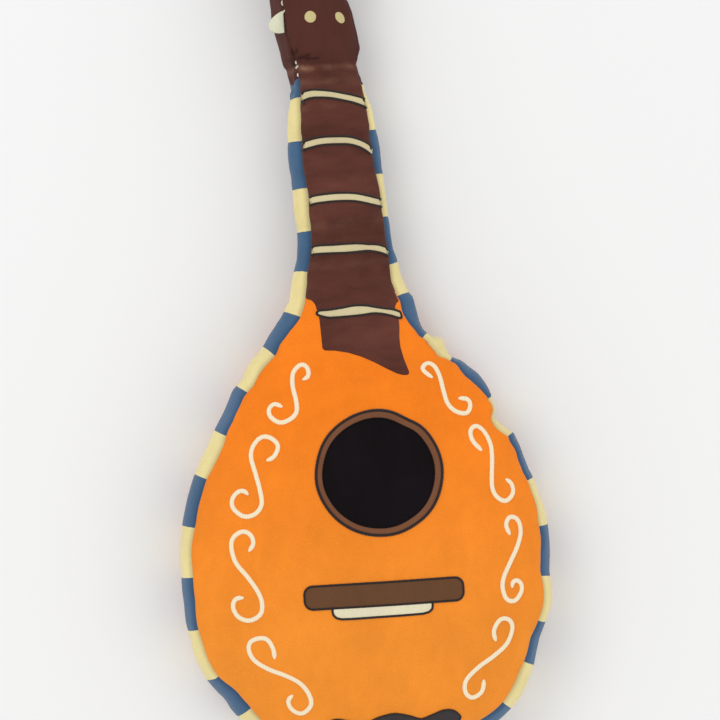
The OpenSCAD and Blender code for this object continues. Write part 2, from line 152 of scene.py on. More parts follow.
# How far each side of the seam strays from that outline, along the toy.
STRAY_LEFT = [
    (-105, -0.4), (-90, -0.4), (-85, 0), (-79.5, 0.4), (-75.5, 0.4), (-71.5, 2.2), (-66, 4.6), (-57, 5.8),
    (-45, 5.5), (-39, 5.3), (-28, 3.9), (-15, 3.2), (5, 3.7), (14, 3.4), (20, 3.0), (26, 2.4), (32, 2.3),
    (44, 1.4), (53, 2.2), (62, 2.4), (70, 3.6), (74, 4.2), (80, 3.0), (86, 4.7), (92, 5.6), (100, 5.8),
    (107, 6.9), (112, 6.8), (118, 5.4), (122, 4.9), (128, 3.4), (136, 3.2), (145, 1.6), (160, 0.5),
    (170, 0.6), (176, 0), (182, -0.9), (189, -1.2), (195, -1.1), (200, -0.8), (212, -0.6), (222, -1.1),
    (227, -1.5), (236, -1.7), (240, -0.8), (243, -1.0), (248, -2.1), (256, -2.6), (262, -2.9), (276, -2.8),
    (300, -2.4), (340, -0.5), (355, 0),
]
STRAY_RIGHT = [
    (-105, 0), (-95, 2.0), (-82, 5.4), (-76, 5.6), (-70, 4.6), (-63, 4.5), (-57, 3.5), (-51, 3.0),
    (-45, 4.0), (-39, 4.9), (-33, 5.4), (-27, 4.2), (-18, 2.4), (-8, 2.2), (10, 1.9), (20, 1.1), (26, 1.0),
    (32, -0.4), (38, 0), (44, 1.2), (50, 1.4), (52.5, -1.7), (55, -3.2), (57, -4.2), (59, -4.4), (61, -3.2),
    (62.5, -1.6), (64.5, -1.1), (67, 0), (69, 0.8), (71, 2.5), (74, 3.7), (80, 3.9), (83, 3.2), (86, 3.0),
    (88.5, 3.4), (90.5, 1.6), (92.5, 1.0), (94.5, 2.6), (96.5, 4.6), (98.5, 5.2), (100.5, 4.8),
    (102.5, 3.0), (105, 2.6), (107, 1.9), (110, 2.6), (116, 4.3), (124, 5.4), (127.5, 3.2), (134, 0.6),
    (142, 0.5), (160, 1.2), (200, 2.0), (228, 1.2), (234, 1.6), (238, 0.8), (241, 0.4), (243, 0.1),
    (245, -1.0), (248, -0.7), (251.5, 1.2), (255, 1.1), (262, 0.7), (269, 0.5), (272.5, -0.2), (276, -1.5),
    (300, -1.5), (340, 0), (355, 0),
]
# How far each seam lies inside the outline, beyond the band's usual swell.
SEAM_IN_LEFT = [
    (-105, 0.8), (-90, 1.0), (-81, 2.0), (-76, 1.4), (-71.5, 2.5), (-66, 0), (50, 0), (57, -0.8),
    (64, -1.6), (74, -0.4), (80, 0), (105, 0), (114, 1.1), (119, 2.0), (130, 1.5), (137, 1.2), (144, 0),
    (176, -0.3), (190, -0.8), (200, -0.6), (215, -0.5), (227, -0.9), (236, -1.2), (240, -0.5), (243, -0.9),
    (248, -1.4), (256, -3.0), (262, -3.5), (276, -3.5), (300, -2.8), (340, -1), (355, 0),
]
SEAM_IN_RIGHT = [
    (-105, 0.5), (-90, 1.5), (-76, 2.4), (-67, 1.9), (-58, 0), (0, 0), (25, -1.2), (36, -1.7), (42, -2.0),
    (48, -1.0), (54.5, -1.8), (58, -3.4), (62, -3.8), (66, -4.7), (73, -1.8), (78, -0.4), (82, 0),
    (88, -2.0), (92, -3.6), (94, 0.4), (96.5, 1.9), (98.5, 2.0), (100.5, 1.2), (103.5, -1.8), (107, -1.0),
    (111, -0.7), (115, 0.7), (119, 2.2), (123, 2.4), (130, 1.4), (135, 0.9), (142, 0), (148, -1.2),
    (156, -1.4), (164, -2.0), (170, -1.3), (180, -1.1), (189, -0.9), (197, 0.2), (206, 0), (212, -1.5),
    (220, -2.0), (229, -3.0), (236, -1.8), (243, -1.6), (250, 0), (355, 0),
]
# Half the side band's width from the front seam to the back seam.
SEAM_HALF = [
    (-105, 16.8), (-80, 20), (60, 20), (95, 17.4), (123.5, 14.6), (138, 11.8), (150, 11.5), (200, 11.5),
    (232, 10.8), (240, 8.8), (250, 9.4), (330, 9.3), (355, 7.5),
]
# How full the front and the back are, as shares of the half width's power.
FRONT_RISE = [
    (-105, 0.0758), (108, 0.0758), (140, 0.165), (230, 0.168), (240, 0.13), (250, 0.2), (355, 0.2),
]
BACK_RISE = [
    (-105, 0.0474), (108, 0.0474), (140, 0.155), (230, 0.16), (240, 0.13), (250, 0.19), (355, 0.19),
]
# How far the side band swells past its seams.
BULGE = [
    (-105, 5.5), (100, 5.5), (123, 5.2), (150, 4.8), (220, 4.8), (236, 3.0), (240, 2.0), (248, 3.0),
    (355, 3.3),
]
# How far the middle of the body leans aside on its way to the neck.
SPINE_X = [(-110, 0), (70, 0), (100, -3.2), (123.5, -4.7), (133, -5)]
# Front and back bulge as this power of the distance from the seams.
CROWN_POWER = 0.6
# The strays fade out toward the toy's two ends, where the half width is less than this.
END_REACH = 12
# The left end of the headstock's band hangs lower in the middle of the band than at its seams: how far,
# where along the toy and over what half width.
HEAD_BAND_DROOP = 3.2
DROOP_AT, DROOP_WIDTH = SEAM_T - 6.5, 4.8
# Faces across the front, each side band and the back, and the length of a row.
FRONT_COLUMNS = 56
BAND_COLUMNS = 14
BACK_COLUMNS = 32
ROW_STEP = 2.2
# Rows are twice as close between these places, around the headstock's seam.
FINE_ROWS = (SEAM_T - 11, SEAM_T + 12)
# Places past each fold between which the rows turn, and half the stretch over which they change cushion.
NECK_TURN = (-22, 14)
HEAD_TURN = (-12, 12)
CHANGE = 8
# Points of the lattice closer than this are one.
WELD = 0.01


def table(pairs, x):
    """Value at x of a table of places and values, straight between them."""
    return np.interp(x, [p[0] for p in pairs], [p[1] for p in pairs])


def rows_of_skin():
    """The rows across the toy: seam half width, place along, outward normal and length along the seam."""
    rim = resample(catmull(RIM, 12), ROW_STEP / 2)
    fine = (rim[:, 1] > FINE_ROWS[0]) & (rim[:, 1] < FINE_ROWS[1])
    keep = fine | (np.arange(len(rim)) % 2 == 0)
    keep[-1] = True
    keep[-2] = False
    rim = rim[keep]
    tangent = np.gradient(rim, axis=0)
    normal = np.column_stack([tangent[:, 1], -tangent[:, 0]])
    normal[0], normal[-1] = (0, -1), (0, 1)
    normal /= np.linalg.norm(normal, axis=1)[:, None]
    rim[0, 0] = rim[-1, 0] = 0
    along = np.concatenate([[0], np.cumsum(np.linalg.norm(np.diff(rim, axis=0), axis=1))])
    return rim[:, 0], rim[:, 1], normal, along


def row_place(t):
    """Middle point and frame of the row at place t, bending smoothly at the two folds."""
    neck_lean, neck_twist = lean_twist(NECK_AXES)
    head_lean, head_twist = lean_twist(HEAD_AXES)
    at_neck = float(smoothstep(NECK_T + NECK_TURN[0], NECK_T + NECK_TURN[1], t))
    at_head = float(smoothstep(HEAD_T + HEAD_TURN[0], HEAD_T + HEAD_TURN[1], t))
    lean = neck_lean * at_neck + (head_lean - neck_lean) * at_head
    twist = neck_twist * at_neck + (head_twist - neck_twist) * at_head
    low = np.array([float(table(SPINE_X, t)), t, MID])
    middle = NECK_AT + NECK_AXES[:, 1] * (t - NECK_T)
    high = HEAD_AT + HEAD_AXES[:, 1] * (t - HEAD_T)
    past_neck = float(smoothstep(NECK_T - CHANGE, NECK_T + CHANGE, t))
    past_head = float(smoothstep(HEAD_T - CHANGE, HEAD_T + CHANGE, t))
    below = low * (1 - past_neck) + middle * past_neck
    return below * (1 - past_head) + high * past_head, turned(lean, twist)


def row_section(t, half, normal):
    """One row's points around the toy, across, along and up in the row's own frame, and its shift aside."""
    front = np.sin(np.radians(np.linspace(-90, 90, FRONT_COLUMNS + 1)))
    back = np.sin(np.radians(np.linspace(90, -90, BACK_COLUMNS + 1)))
    band = np.cos(np.linspace(0, math.pi, BAND_COLUMNS + 1))[1:-1]
    left_in, right_in = float(table(SEAM_IN_LEFT, t)), float(table(SEAM_IN_RIGHT, t))
    left = float(table(STRAY_LEFT, t)) - left_in
    right = float(table(STRAY_RIGHT, t)) - right_in
    close = min(1.0, half / END_REACH)
    w = half + close * (left + right) / 2
    seam, bulge = float(table(SEAM_HALF, t)), float(table(BULGE, t))
    rise = np.maximum(0, 1 - front**2) ** CROWN_POWER * w ** (2 * CROWN_POWER)
    fall = np.maximum(0, 1 - back**2) ** CROWN_POWER * w ** (2 * CROWN_POWER)
    round_off = 1 - band**2
    swell = (bulge + close * right_in) * round_off
    swell_left = (bulge + close * left_in) * round_off[::-1]
    droop = HEAD_BAND_DROOP * math.exp(-(((t - DROOP_AT) / DROOP_WIDTH) ** 2)) * round_off[::-1]
    x = np.concatenate([front * w, w + normal[0] * swell, back * w, -w - normal[0] * swell_left])
    y = np.concatenate([front * 0, normal[1] * swell, back * 0, normal[1] * swell_left - droop])
    up = seam + float(table(FRONT_RISE, t)) * rise
    down = -seam - float(table(BACK_RISE, t)) * fall
    z = np.concatenate([up, seam * band, down, seam * band[::-1]])
    y = y + x * SEAM_SLANT * math.exp(-(((t - SEAM_T) / SLANT_WIDTH) ** 2))
    return np.column_stack([x, y, z]), close * (right - left) / 2


def skin_points():
    """Lattice of the whole skin, [row, place around], with each row's place and length along."""
    half, t, normal, along = rows_of_skin()
    points = []
    for i in range(len(half)):
        middle, axes = row_place(t[i])
        section, shift = row_section(t[i], half[i], normal[i])
        points.append(middle + axes[:, 0] * shift + section @ axes.T)
    points = np.array(points)
    points[..., 2] = np.maximum(points[..., 2], 0)
    return points, t, along


SKIN, ROW_T, ROW_ALONG = skin_points()
ROWS, AROUND = SKIN.shape[:2]
FRONT = (0, FRONT_COLUMNS)
RIGHT = (FRONT_COLUMNS, FRONT_COLUMNS + BAND_COLUMNS)
BACK = (RIGHT[1], RIGHT[1] + BACK_COLUMNS)
LEFT = (BACK[1], BACK[1] + BAND_COLUMNS)
SEAMS = [FRONT[0], RIGHT[0], BACK[0], LEFT[0]]


def row_at(t):
    """Index of the row nearest to a place along the toy."""
    return int(np.argmin(np.abs(ROW_T - t)))


def skin_faces(rows=None, around=(0, None)):
    """Quads of a part of the lattice, as indices into its flat list of points."""
    rows = rows or (0, ROWS - 1)
    last = AROUND if around[1] is None else around[1]
    quads = []
    for i in range(*rows):
        for j in range(around[0], last):
            a, b = j % AROUND, (j + 1) % AROUND
            quads.append((i * AROUND + a, i * AROUND + b, (i + 1) * AROUND + b, (i + 1) * AROUND + a))
    return quads


def weld_points(mesh, distance):
    """Joins a mesh's points that lie closer than a distance in millimetres."""
    b = bmesh.new()
    b.from_mesh(mesh)
    bmesh.ops.remove_doubles(b, verts=b.verts, dist=distance * MM)
    b.to_mesh(mesh)
    b.free()


def new_mesh(name, points, faces, weld=0.0):
    """A smooth mesh object from points in millimetres."""
    mesh = bpy.data.meshes.new(name)
    mesh.from_pydata([tuple(p) for p in np.asarray(points) * MM], [], [tuple(f) for f in faces])
    if weld:
        weld_points(mesh, weld)
    mesh.validate()
    obj = bpy.data.objects.new(name, mesh)
    bpy.context.scene.collection.objects.link(obj)
    for p in mesh.polygons:
        p.use_smooth = True
    return obj


def grid_normals(points):
    """Outward normals of the lattice."""
    across = np.roll(points, -1, axis=1) - np.roll(points, 1, axis=1)
    along = np.gradient(points, axis=0)
    n = np.cross(across, along)
    length = np.linalg.norm(n, axis=2)[..., None]
    n = n / np.maximum(length, 1e-9)
    n[0], n[-1] = n[1], n[-2]
    return n


def seam_distance(points):
    """Distance around the section from each point to the nearest seam."""
    step = np.linalg.norm(np.roll(points, -1, axis=1) - points, axis=2)
    at = np.concatenate([np.zeros((ROWS, 1)), np.cumsum(step, axis=1)], axis=1)
    whole = at[:, -1:]
    best = np.full((ROWS, AROUND), 1e9)
    for seam in SEAMS:
        d = np.abs(at[:, :-1] - at[:, seam : seam + 1])
        best = np.minimum(best, np.minimum(d, whole - d))
    return best


def wave(s, seed, pitch):
    """Uneven ripple along a seam, about one wave per pitch."""
    values = [noise.noise(Vector((x / pitch, seed * 7.3, 0.5))) for x in np.ravel(s)]
    return np.array(values).reshape(np.shape(s)) * 2


def lumps(points, size, seed):
    """Soft uneven heights over the lattice, about one lump per size."""
    shift = Vector((seed, 2 * seed, -seed))
    values = [noise.noise(Vector(p / size) + shift) for p in points.reshape(-1, 3)]
    return np.array(values).reshape(points.shape[:2])


# The cloth simulation: size of the copy's faces, its frames, how far a seam holds the cloth tight and
# the largest move that is kept, in millimetres.
CLOTH_FACE = 4.5
CLOTH_FRAMES = 20
CLOTH_TIGHT = 5.0
CLOTH_MOST = 4.0
CLOTH_SETTINGS = {
    "quality": 6,
    "mass": 0.2,
    "tension_stiffness": 30,
    "compression_stiffness": 30,
    "shear_stiffness": 12,
    "bending_stiffness": 1.2,
    "use_pressure": True,
    "uniform_pressure_force": 5,
    "vertex_group_shrink": "tight",
    "shrink_min": 0.0,
    "shrink_max": 0.14,
}


def seam_tree(points):
    """A search tree of tiny triangles at the lattice's seam points, in metres."""
    at = [Vector(points[i, j] * MM) for i in range(ROWS) for j in SEAMS]
    corners = [tuple(p) for s in at for p in (s, s + Vector((1e-4, 0, 0)), s + Vector((0, 1e-4, 0)))]
    return BVHTree.FromPolygons(corners, [(3 * i, 3 * i + 1, 3 * i + 2) for i in range(len(at))])


def cloth_copy(points):
    """A closed copy of the skin with even faces, held tight along its seams, under pressure."""
    proxy = new_mesh("inflating", points.reshape(-1, 3), skin_faces(), weld=WELD)
    bpy.context.view_layer.objects.active = proxy
    remesh = proxy.modifiers.new("remesh", "REMESH")
    remesh.mode = "VOXEL"
    remesh.voxel_size = CLOTH_FACE * MM
    bpy.ops.object.modifier_apply(modifier="remesh")
    tree = seam_tree(points)
    group = proxy.vertex_groups.new(name="tight")
    for v in proxy.data.vertices:
        d = tree.find_nearest(v.co)[3] / MM
        group.add([v.index], float(np.exp(-((d / CLOTH_TIGHT) ** 2))), "REPLACE")
    cloth = proxy.modifiers.new("cloth", "CLOTH")
    for name, value in CLOTH_SETTINGS.items():
        setattr(cloth.settings, name, value)
    cloth.settings.effector_weights.gravity = 0
    cloth.point_cache.frame_start = 1
    cloth.point_cache.frame_end = CLOTH_FRAMES
    return proxy


def inflate(points):
    """Cloth simulation on a copy of the skin; returns how far each lattice point moves."""
    proxy = cloth_copy(points)
    rest = np.array([v.co for v in proxy.data.vertices])
    scene = bpy.context.scene
    for f in range(1, CLOTH_FRAMES + 1):
        scene.frame_set(f)
    shape = proxy.evaluated_get(bpy.context.evaluated_depsgraph_get()).data
    move = np.array([v.co for v in shape.vertices]) - rest
    reach = np.linalg.norm(move, axis=1)
    move *= (np.minimum(reach, CLOTH_MOST * MM) / np.maximum(reach, 1e-9))[:, None]
    faces = [tuple(p.vertices) for p in proxy.data.polygons]
    rest_tree = BVHTree.FromPolygons([tuple(p) for p in rest], faces)
    moved = np.zeros(points.shape)
    for place in np.ndindex(ROWS, AROUND):
        near, _, face, _ = rest_tree.find_nearest(Vector(points[place] * MM))
        corner = faces[face]
        weight = np.array([1 / ((near - Vector(rest[c])).length + 1e-5) for c in corner])
        moved[place] = (weight[:, None] * move[list(corner)]).sum(axis=0) / weight.sum()
    bpy.data.objects.remove(proxy)
    scene.frame_set(1)
    return moved / MM


def smoothed(values, times):
    """Averages lattice values with their neighbours."""
    for _ in range(times):
        across = (np.roll(values, 1, axis=1) + np.roll(values, -1, axis=1)) / 2
        along = values.copy()
        along[1:-1] = (values[2:] + values[:-2]) / 2
        values = values * 0.5 + across * 0.25 + along * 0.25
    return values


# Soft creases across the neck's front: place along, depth and half width.
NECK_CREASES = [
    (149, 0.35, 2.4), (166, 0.3, 1.8), (190, 0.4, 2.0), (208, 0.45, 1.7), (229, 0.6, 1.5),
    (234.5, 0.7, 1.3),
]
# Folds gathered around the left end of the headstock's seam: direction in degrees, start, end and half width.
FOLDS = [
    (112, 2.6, 6.0, 0.6), (78, 2.8, 6.4, 0.65), (17, 1.2, 9.0, 0.95), (3, 5.0, 13.0, 0.55),
    (-116, 1.5, 4.8, 1.1), (178, 1.0, 4.2, 0.8),
]
# Lighter places across the neck, partly pile rubbed along the headstock's seam and partly painted highlight
# on the ridges beside the creases: place from the headstock's seam, half width and strength.
WEAR_AND_HIGHLIGHT_LINES = [(-1.0, 1.25, 1.0), (-8.5, 1.5, 0.42), (-19.5, 0.8, 0.3), (-79, 2.2, 0.22), (-99, 1.4, 0.28)]


def gathered_folds(points):
    """How deep each point lies in the radial folds at the left end of the headstock's seam, 0 to 1."""
    centre = SKIN[row_at(SEAM_T - 1.2), FRONT[0]]
    away = (points - centre)[..., :2]
    depth = np.zeros(points.shape[:2])
    for angle, start, end, width in FOLDS:
        way = np.array([math.cos(math.radians(angle)), math.sin(math.radians(angle))])
        along = away @ way
        across = away[..., 0] * way[1] - away[..., 1] * way[0]
        reach = smoothstep(start - 1, start + 1, along) * (1 - smoothstep(end - 2, end + 0.8, along))
        depth = np.maximum(depth, reach * np.exp(-((across / width) ** 2)))
    depth[:, BACK[0] : BACK[1] + 1] = 0
    return depth


def puckers():
    """Uneven ripples along the seams, strongest at each seam."""
    column = np.arange(AROUND)
    made = np.zeros((ROWS, AROUND))
    for k, seam in enumerate(SEAMS):
        near = np.minimum(abs(column - seam), AROUND - abs(column - seam))
        ripple = wave(ROW_ALONG, k + 1, 7.0) * 0.6 + wave(ROW_ALONG, k + 9, 17.0)
        made += ripple[:, None] * np.exp(-((near / 9.0) ** 2))[None, :]
    return made


def creases(points):
    """How deep each point lies in the neck's soft creases, in millimetres."""
    made = np.zeros((ROWS, AROUND))
    for at, depth, width in NECK_CREASES:
        bent = ROW_T[:, None] + 2.5 * lumps(points, 16.0, at) - at
        strength = 0.6 + 1.4 * np.maximum(0, lumps(points, 11.0, at + 4))
        made += depth * np.exp(-((bent / width) ** 2)) * strength
    return made


def pile_wear_and_highlight(points):
    """How much each point is lightened, 0 to 1, by rubbed pile and by painted highlight, most at the left of
    the front.
    """
    made = np.zeros((ROWS, AROUND))
    for at, width, strength in WEAR_AND_HIGHLIGHT_LINES:
        place = ROW_T[:, None] - SEAM_T + 1.2 * lumps(points, 9.0, at) - at
        patchy = np.clip(0.62 + 1.1 * lumps(points, 7.0, 8.0 + at), 0, 1)
        made = np.maximum(made, strength * patchy * np.exp(-((place / width) ** 2)))
    return made * (1 - 0.45 * smoothstep(12, 30, np.arange(AROUND))[None, :])


# Depth and half width of the groove along the seams, depth and reach of the puckers beside it.
GROOVE, GROOVE_WIDTH = 1.3, 1.5
PUCKER, PUCKER_REACH = 0.55, 9.0
# The same around the headstock's seam, and how deep its gathered folds are.
HEAD_GROOVE, HEAD_GROOVE_WIDTH = 0.9, 1.7
HEAD_PUCKER, HEAD_PUCKER_REACH = 0.6, 9.0
FOLD_DEPTH = 0.5
# The filling's lumps: size, seed and height.
FILLING_LUMPS = [(34.0, 3.0, 1.0), (13.0, 5.0, 0.45)]
# How much painted shade darkens the seam grooves, the gathered folds and the creases, and the pile's own
# mottling: size, seed and share.
GROOVE_PAINTED_SHADE, FOLD_PAINTED_SHADE, CREASE_PAINTED_SHADE = 0.30, 0.55, 0.25
PILE_MOTTLES = [(19.0, 30.0, 0.05), (6.0, 22.0, 0.04)]


def finished_skin():
    """The lattice after inflation, with seam grooves, puckers and soft lumps; also its painted shade with
    mottling, and its rubbed pile with painted highlight.
    """
    points = SKIN.copy()
    points += smoothed(inflate(points), 3)
    n = grid_normals(points)
    d = seam_distance(points)
    from_head_seam = (ROW_T - SEAM_T)[:, None]
    around = wave(np.arange(AROUND) * 3.0, 31, 9.0)[None, :]
    groove = np.exp(-((d / GROOVE_WIDTH) ** 2))
    gathered = gathered_folds(points)
    creased = creases(points)
    offset = -GROOVE * groove + PUCKER * puckers() * np.exp(-((d / PUCKER_REACH) ** 2))
    offset += -HEAD_GROOVE * np.exp(-((from_head_seam / HEAD_GROOVE_WIDTH) ** 2))
    offset += HEAD_PUCKER * around * np.exp(-((from_head_seam / HEAD_PUCKER_REACH) ** 2))
    offset -= FOLD_DEPTH * gathered + creased
    offset += sum(height * lumps(points, size, seed) for size, seed, height in FILLING_LUMPS)
    offset[0] = offset[1].mean()
    offset[-1] = offset[-2].mean()
    points = points + n * offset[..., None]
    points[..., 2] = np.maximum(points[..., 2], 0.0)
    # Painted shade: darker in the seam grooves, the gathered folds and the neck's creases; the pile's
    # mottling is its own random tone.
    tone = -GROOVE_PAINTED_SHADE * groove - FOLD_PAINTED_SHADE * gathered - CREASE_PAINTED_SHADE * creased
    tone += sum(share * lumps(points, size, seed) for size, seed, share in PILE_MOTTLES)
    return points, tone, pile_wear_and_highlight(points)


SKIN, SKIN_PAINTED_SHADE_AND_MOTTLE, SKIN_WEAR_AND_HIGHLIGHT = finished_skin()
SKIN_NORMALS = grid_normals(SKIN)
SKIN_TREE = BVHTree.FromPolygons([tuple(p) for p in SKIN.reshape(-1, 3)], skin_faces(around=FRONT))
# Rays start this far above a cushion's middle; its front is near this much below them.
RAY_START = 80.0
RAY_LENGTH = 64


def on_front(place, x, y, raise_by=0.0):
    """The point of the front above (x, y) in a cushion's frame, raised along the surface's normal."""
    origin, axes = PLACES[place]
    start = origin + axes @ np.array([x, y, RAY_START])
    hit, normal, _, _ = SKIN_TREE.ray_cast(Vector(start), Vector(-axes[:, 2]))
    if hit is None:
        hit, normal, _, _ = SKIN_TREE.find_nearest(Vector(start - axes[:, 2] * RAY_LENGTH))
    normal = np.array(normal)
    if normal @ axes[:, 2] < 0:
        normal = -normal
    return np.array(hit) + normal * raise_by


# ---------------------------------------------------------------- materials


def rgb(r, g, b):
    """Linear colour from the 0-255 values of a screen colour."""

    def channel(v):
        v = v / 255
        return v / 12.92 if v <= 0.04045 else ((v + 0.055) / 1.055) ** 2.4

    return (channel(r), channel(g), channel(b), 1)


def shade(colour, factor):
    return tuple(min(1, c * factor) for c in colour[:3]) + (1,)


class Shader:
    """A material's node tree, with short forms of the nodes used here."""

    def __init__(self, name):
        self.name = name
        self.material = bpy.data.materials.new(name)
        self.material.use_nodes = True
        self.nodes = self.material.node_tree.nodes
        self.links = self.material.node_tree.links
        self.bsdf = self.nodes["Principled BSDF"]

    def feed(self, socket, value):
        """Links a node's output to a socket, or sets a constant on it."""
        if isinstance(value, bpy.types.NodeSocket):
            self.links.new(value, socket)
        else:
            socket.default_value = value

    def node(self, kind, settings=(), **inputs):
        n = self.nodes.new("ShaderNode" + kind)
        for key, value in dict(settings).items():
            setattr(n, key, value)
        for key, value in inputs.items():
            self.feed(n.inputs[key.replace("_", " ")], value)
        return n

    def noise(self, vector, scale, detail):
        return self.node("TexNoise", Scale=scale, Detail=detail, Vector=vector).outputs["Fac"]

    def math(self, operation, *values):
        n = self.node("Math", {"operation": operation})
        for i, value in enumerate(values):
            self.feed(n.inputs[i], value)
        return n.outputs[0]

    def mix(self, factor, a, b):
        n = self.node("Mix", {"data_type": "RGBA"})
        for key, value in (("Factor", factor), ("A", a), ("B", b)):
            self.feed(next(s for s in n.inputs if s.name == key and s.enabled), value)
        return next(s for s in n.outputs if s.enabled)

    def spread(self, value, low, high):
        """Maps a value to 0..1 between two limits."""
        return self.node("MapRange", From_Min=low, From_Max=high, Value=value).outputs[0]

    def place(self, stretch=(1, 1, 1)):
        """The point on the piece, in metres, stretched along each axis."""
        at = self.node("TexCoord").outputs["Object"]
        return self.node("Mapping", Scale=stretch, Vector=at).outputs["Vector"]

    def attribute(self, name):
        return self.node("Attribute", {"attribute_name": name}).outputs["Fac"]

    def scaled(self, colour, factor):
        n = self.node("VectorMath", {"operation": "SCALE"}, Scale=factor)
        self.feed(n.inputs[0], colour)
        return n.outputs[0]

    def colour(self, value):
        held = self.node("RGB")
        held.outputs[0].default_value = value
        return held.outputs[0]

    def finish(self, colour, height, strength, distance, **inputs):
        """Joins colour and bump to the surface and sets its other inputs; returns name and material."""
        relief = self.node("Bump", Strength=strength, Distance=distance, Height=height)
        self.feed(self.bsdf.inputs["Normal"], relief.outputs[0])
        self.feed(self.bsdf.inputs["Base Color"], colour)
        for key, value in inputs.items():
            self.feed(self.bsdf.inputs[key.replace("_", " ")], value)
        return self.name, self.material


# Sizes of the pile's brushed patches and streaks, as noise scales, and the depth of its relief in metres.
PATCH_SCALE = 42
STREAK_SCALE = 230
PILE_RELIEF = 0.0006
# The body's colour turns into its lower colour between these heights along the toy, in metres.
LOWER_FROM, LOWER_TO = 0.07, -0.05
# Past this remainder a stripe is the other colour; the fibres make the edge a little ragged.
STRIPE_SPLIT = 1.015
STRIPE_RAGGED = 0.03


def pile_colour(s, colour, second, stripes, fibres, plain):
    """The colour before its shading: plain, in stripes, or turning into a second colour down the body."""
    if stripes:
        ragged = s.math("MULTIPLY_ADD", fibres, STRIPE_RAGGED, s.attribute("stripe"))
        other = s.math("GREATER_THAN", s.math("MODULO", ragged, 2.0), STRIPE_SPLIT)
        return s.mix(other, colour, second)
    if second:
        height = s.node("SeparateXYZ")
        s.feed(height.inputs[0], plain)
        return s.mix(s.spread(height.outputs["Y"], LOWER_FROM, LOWER_TO), colour, second)
    return s.colour(colour)


def pile(name, colour, mottle=0.1, scale=1700, rough=0.35, sheen=0.2, second=None, stripes=False,
         wear_and_highlight=None, brush=(1, 0.45, 1)):
    """Short-pile velour: brushed patches, fine fibre bump and a soft sheen.

    second is the colour towards the bottom of the body, or the other stripe's colour; the wear colour is
    where the pile is rubbed off and where painted highlight lights its ridges; brush stretches the patches,
    least along the pile.
    """
    s = Shader(name)
    plain = s.place()
    brushed = s.place(brush)
    patches = s.spread(s.noise(brushed, PATCH_SCALE, 4.0), 0.3, 0.7)
    streaks = s.spread(s.noise(brushed, STREAK_SCALE, 3.0), 0.25, 0.75)
    fibres = s.noise(plain, scale, 2.0)
    fleck = s.spread(fibres, 0.2, 0.8)
    tone = s.math("MULTIPLY_ADD", patches, mottle * 1.3, 1 - mottle)
    tone = s.math("MULTIPLY_ADD", streaks, mottle * 0.7, tone)
    tone = s.math("MULTIPLY", tone, s.math("MULTIPLY_ADD", fleck, 0.16, 0.92))
    # The piece's painted shade in grooves, folds and creases, with its random mottling, darkens the colour
    # here.
    tone = s.math("MULTIPLY", tone, s.math("ADD", s.attribute("tone"), 1.0))
    toned = s.scaled(pile_colour(s, colour, second, stripes, fibres, plain), tone)
    # Rubbed pile and painted highlight lighten the colour toward the wear colour here.
    if wear_and_highlight:
        toned = s.mix(s.math("MULTIPLY", s.attribute("wear_and_highlight"), fleck), toned, wear_and_highlight)
    relief = s.math("MULTIPLY_ADD", streaks, 0.6, fibres)
    return s.finish(toned, relief, rough, PILE_RELIEF, Roughness=0.92, Sheen_Weight=sheen,
                    Sheen_Roughness=0.4, Specular_IOR_Level=0.12)


def thread(name, colour):
    """Embroidery or sewing thread with a fine twist."""
    s = Shader(name)
    at = s.place()
    fine = s.noise(at, 900, 2.0)
    strands = s.node("TexWave", Scale=260, Distortion=3.0, Vector=at)
    tone = s.math("MULTIPLY_ADD", strands.outputs["Fac"], 0.5, s.math("MULTIPLY", fine, 0.5))
    mixed = s.mix(tone, shade(colour, 0.88), shade(colour, 1.05))
    return s.finish(mixed, tone, 0.4, 0.0003, Roughness=0.7, Sheen_Weight=0.2, Specular_IOR_Level=0.2)


BLUE = rgb(70, 102, 135)
LOW_ORANGE = rgb(244, 146, 48)
# Pale tan of rubbed-off pile, also used to paint highlight on the neck's ridges.
WEAR_AND_HIGHLIGHT_TAN = rgb(170, 126, 102)

MATERIALS = {
    "orange": pile("orange_velour", rgb(250, 131, 30), 0.07, second=LOW_ORANGE),
    "stripes": pile("striped_velour", rgb(240, 223, 158), 0.07, second=BLUE, stripes=True),
    "brown": pile("brown_velour", rgb(90, 51, 42), 0.42, wear_and_highlight=WEAR_AND_HIGHLIGHT_TAN, brush=(0.38, 1, 1)),
    "head": pile("dark_brown_plush", rgb(84, 47, 40), 0.12, rough=0.2, sheen=0.06, wear_and_highlight=WEAR_AND_HIGHLIGHT_TAN),
    "hole": pile("black_pile", rgb(18, 12, 16), 0.35, 1200, 0.6, 0.02),
    "ring": pile("ring_brown", rgb(122, 79, 55), 0.12, sheen=0.05),
    "bridge": pile("bridge_brown", rgb(103, 70, 47), 0.1, sheen=0.05),
    "tail": pile("tailpiece_dark", rgb(63, 58, 60), 0.12, sheen=0.05),
    "fret": pile("fret_cream", rgb(212, 198, 156), 0.08, sheen=0.05),
    "saddle": pile("saddle_cream", rgb(230, 222, 190), 0.06, sheen=0.05),
    "dot": pile("dot_cream", rgb(206, 192, 138), 0.08, sheen=0.05),
    "edge": thread("dark_edging", rgb(42, 30, 27)),
    "scroll": thread("scroll_thread", rgb(253, 236, 202)),
    "stitch": thread("stitch_thread", rgb(222, 208, 196)),
    "felt": pile("tab_felt", rgb(220, 220, 193), 0.06, 900, 0.25, 0.05),
}


def dress(obj, material, nodes=None, slot=True):
    """Gives a piece its material and hides the CAD nodes it stands for, if any are given.

    slot is not used: no slot is made.
    """
    name, surface = MATERIALS[material]
    obj.data.materials.append(surface)
    if slot:
        name if slot is True else slot
    if nodes is not None:
        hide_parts(*nodes)
    return obj


# ---------------------------------------------------------------- fabric panels

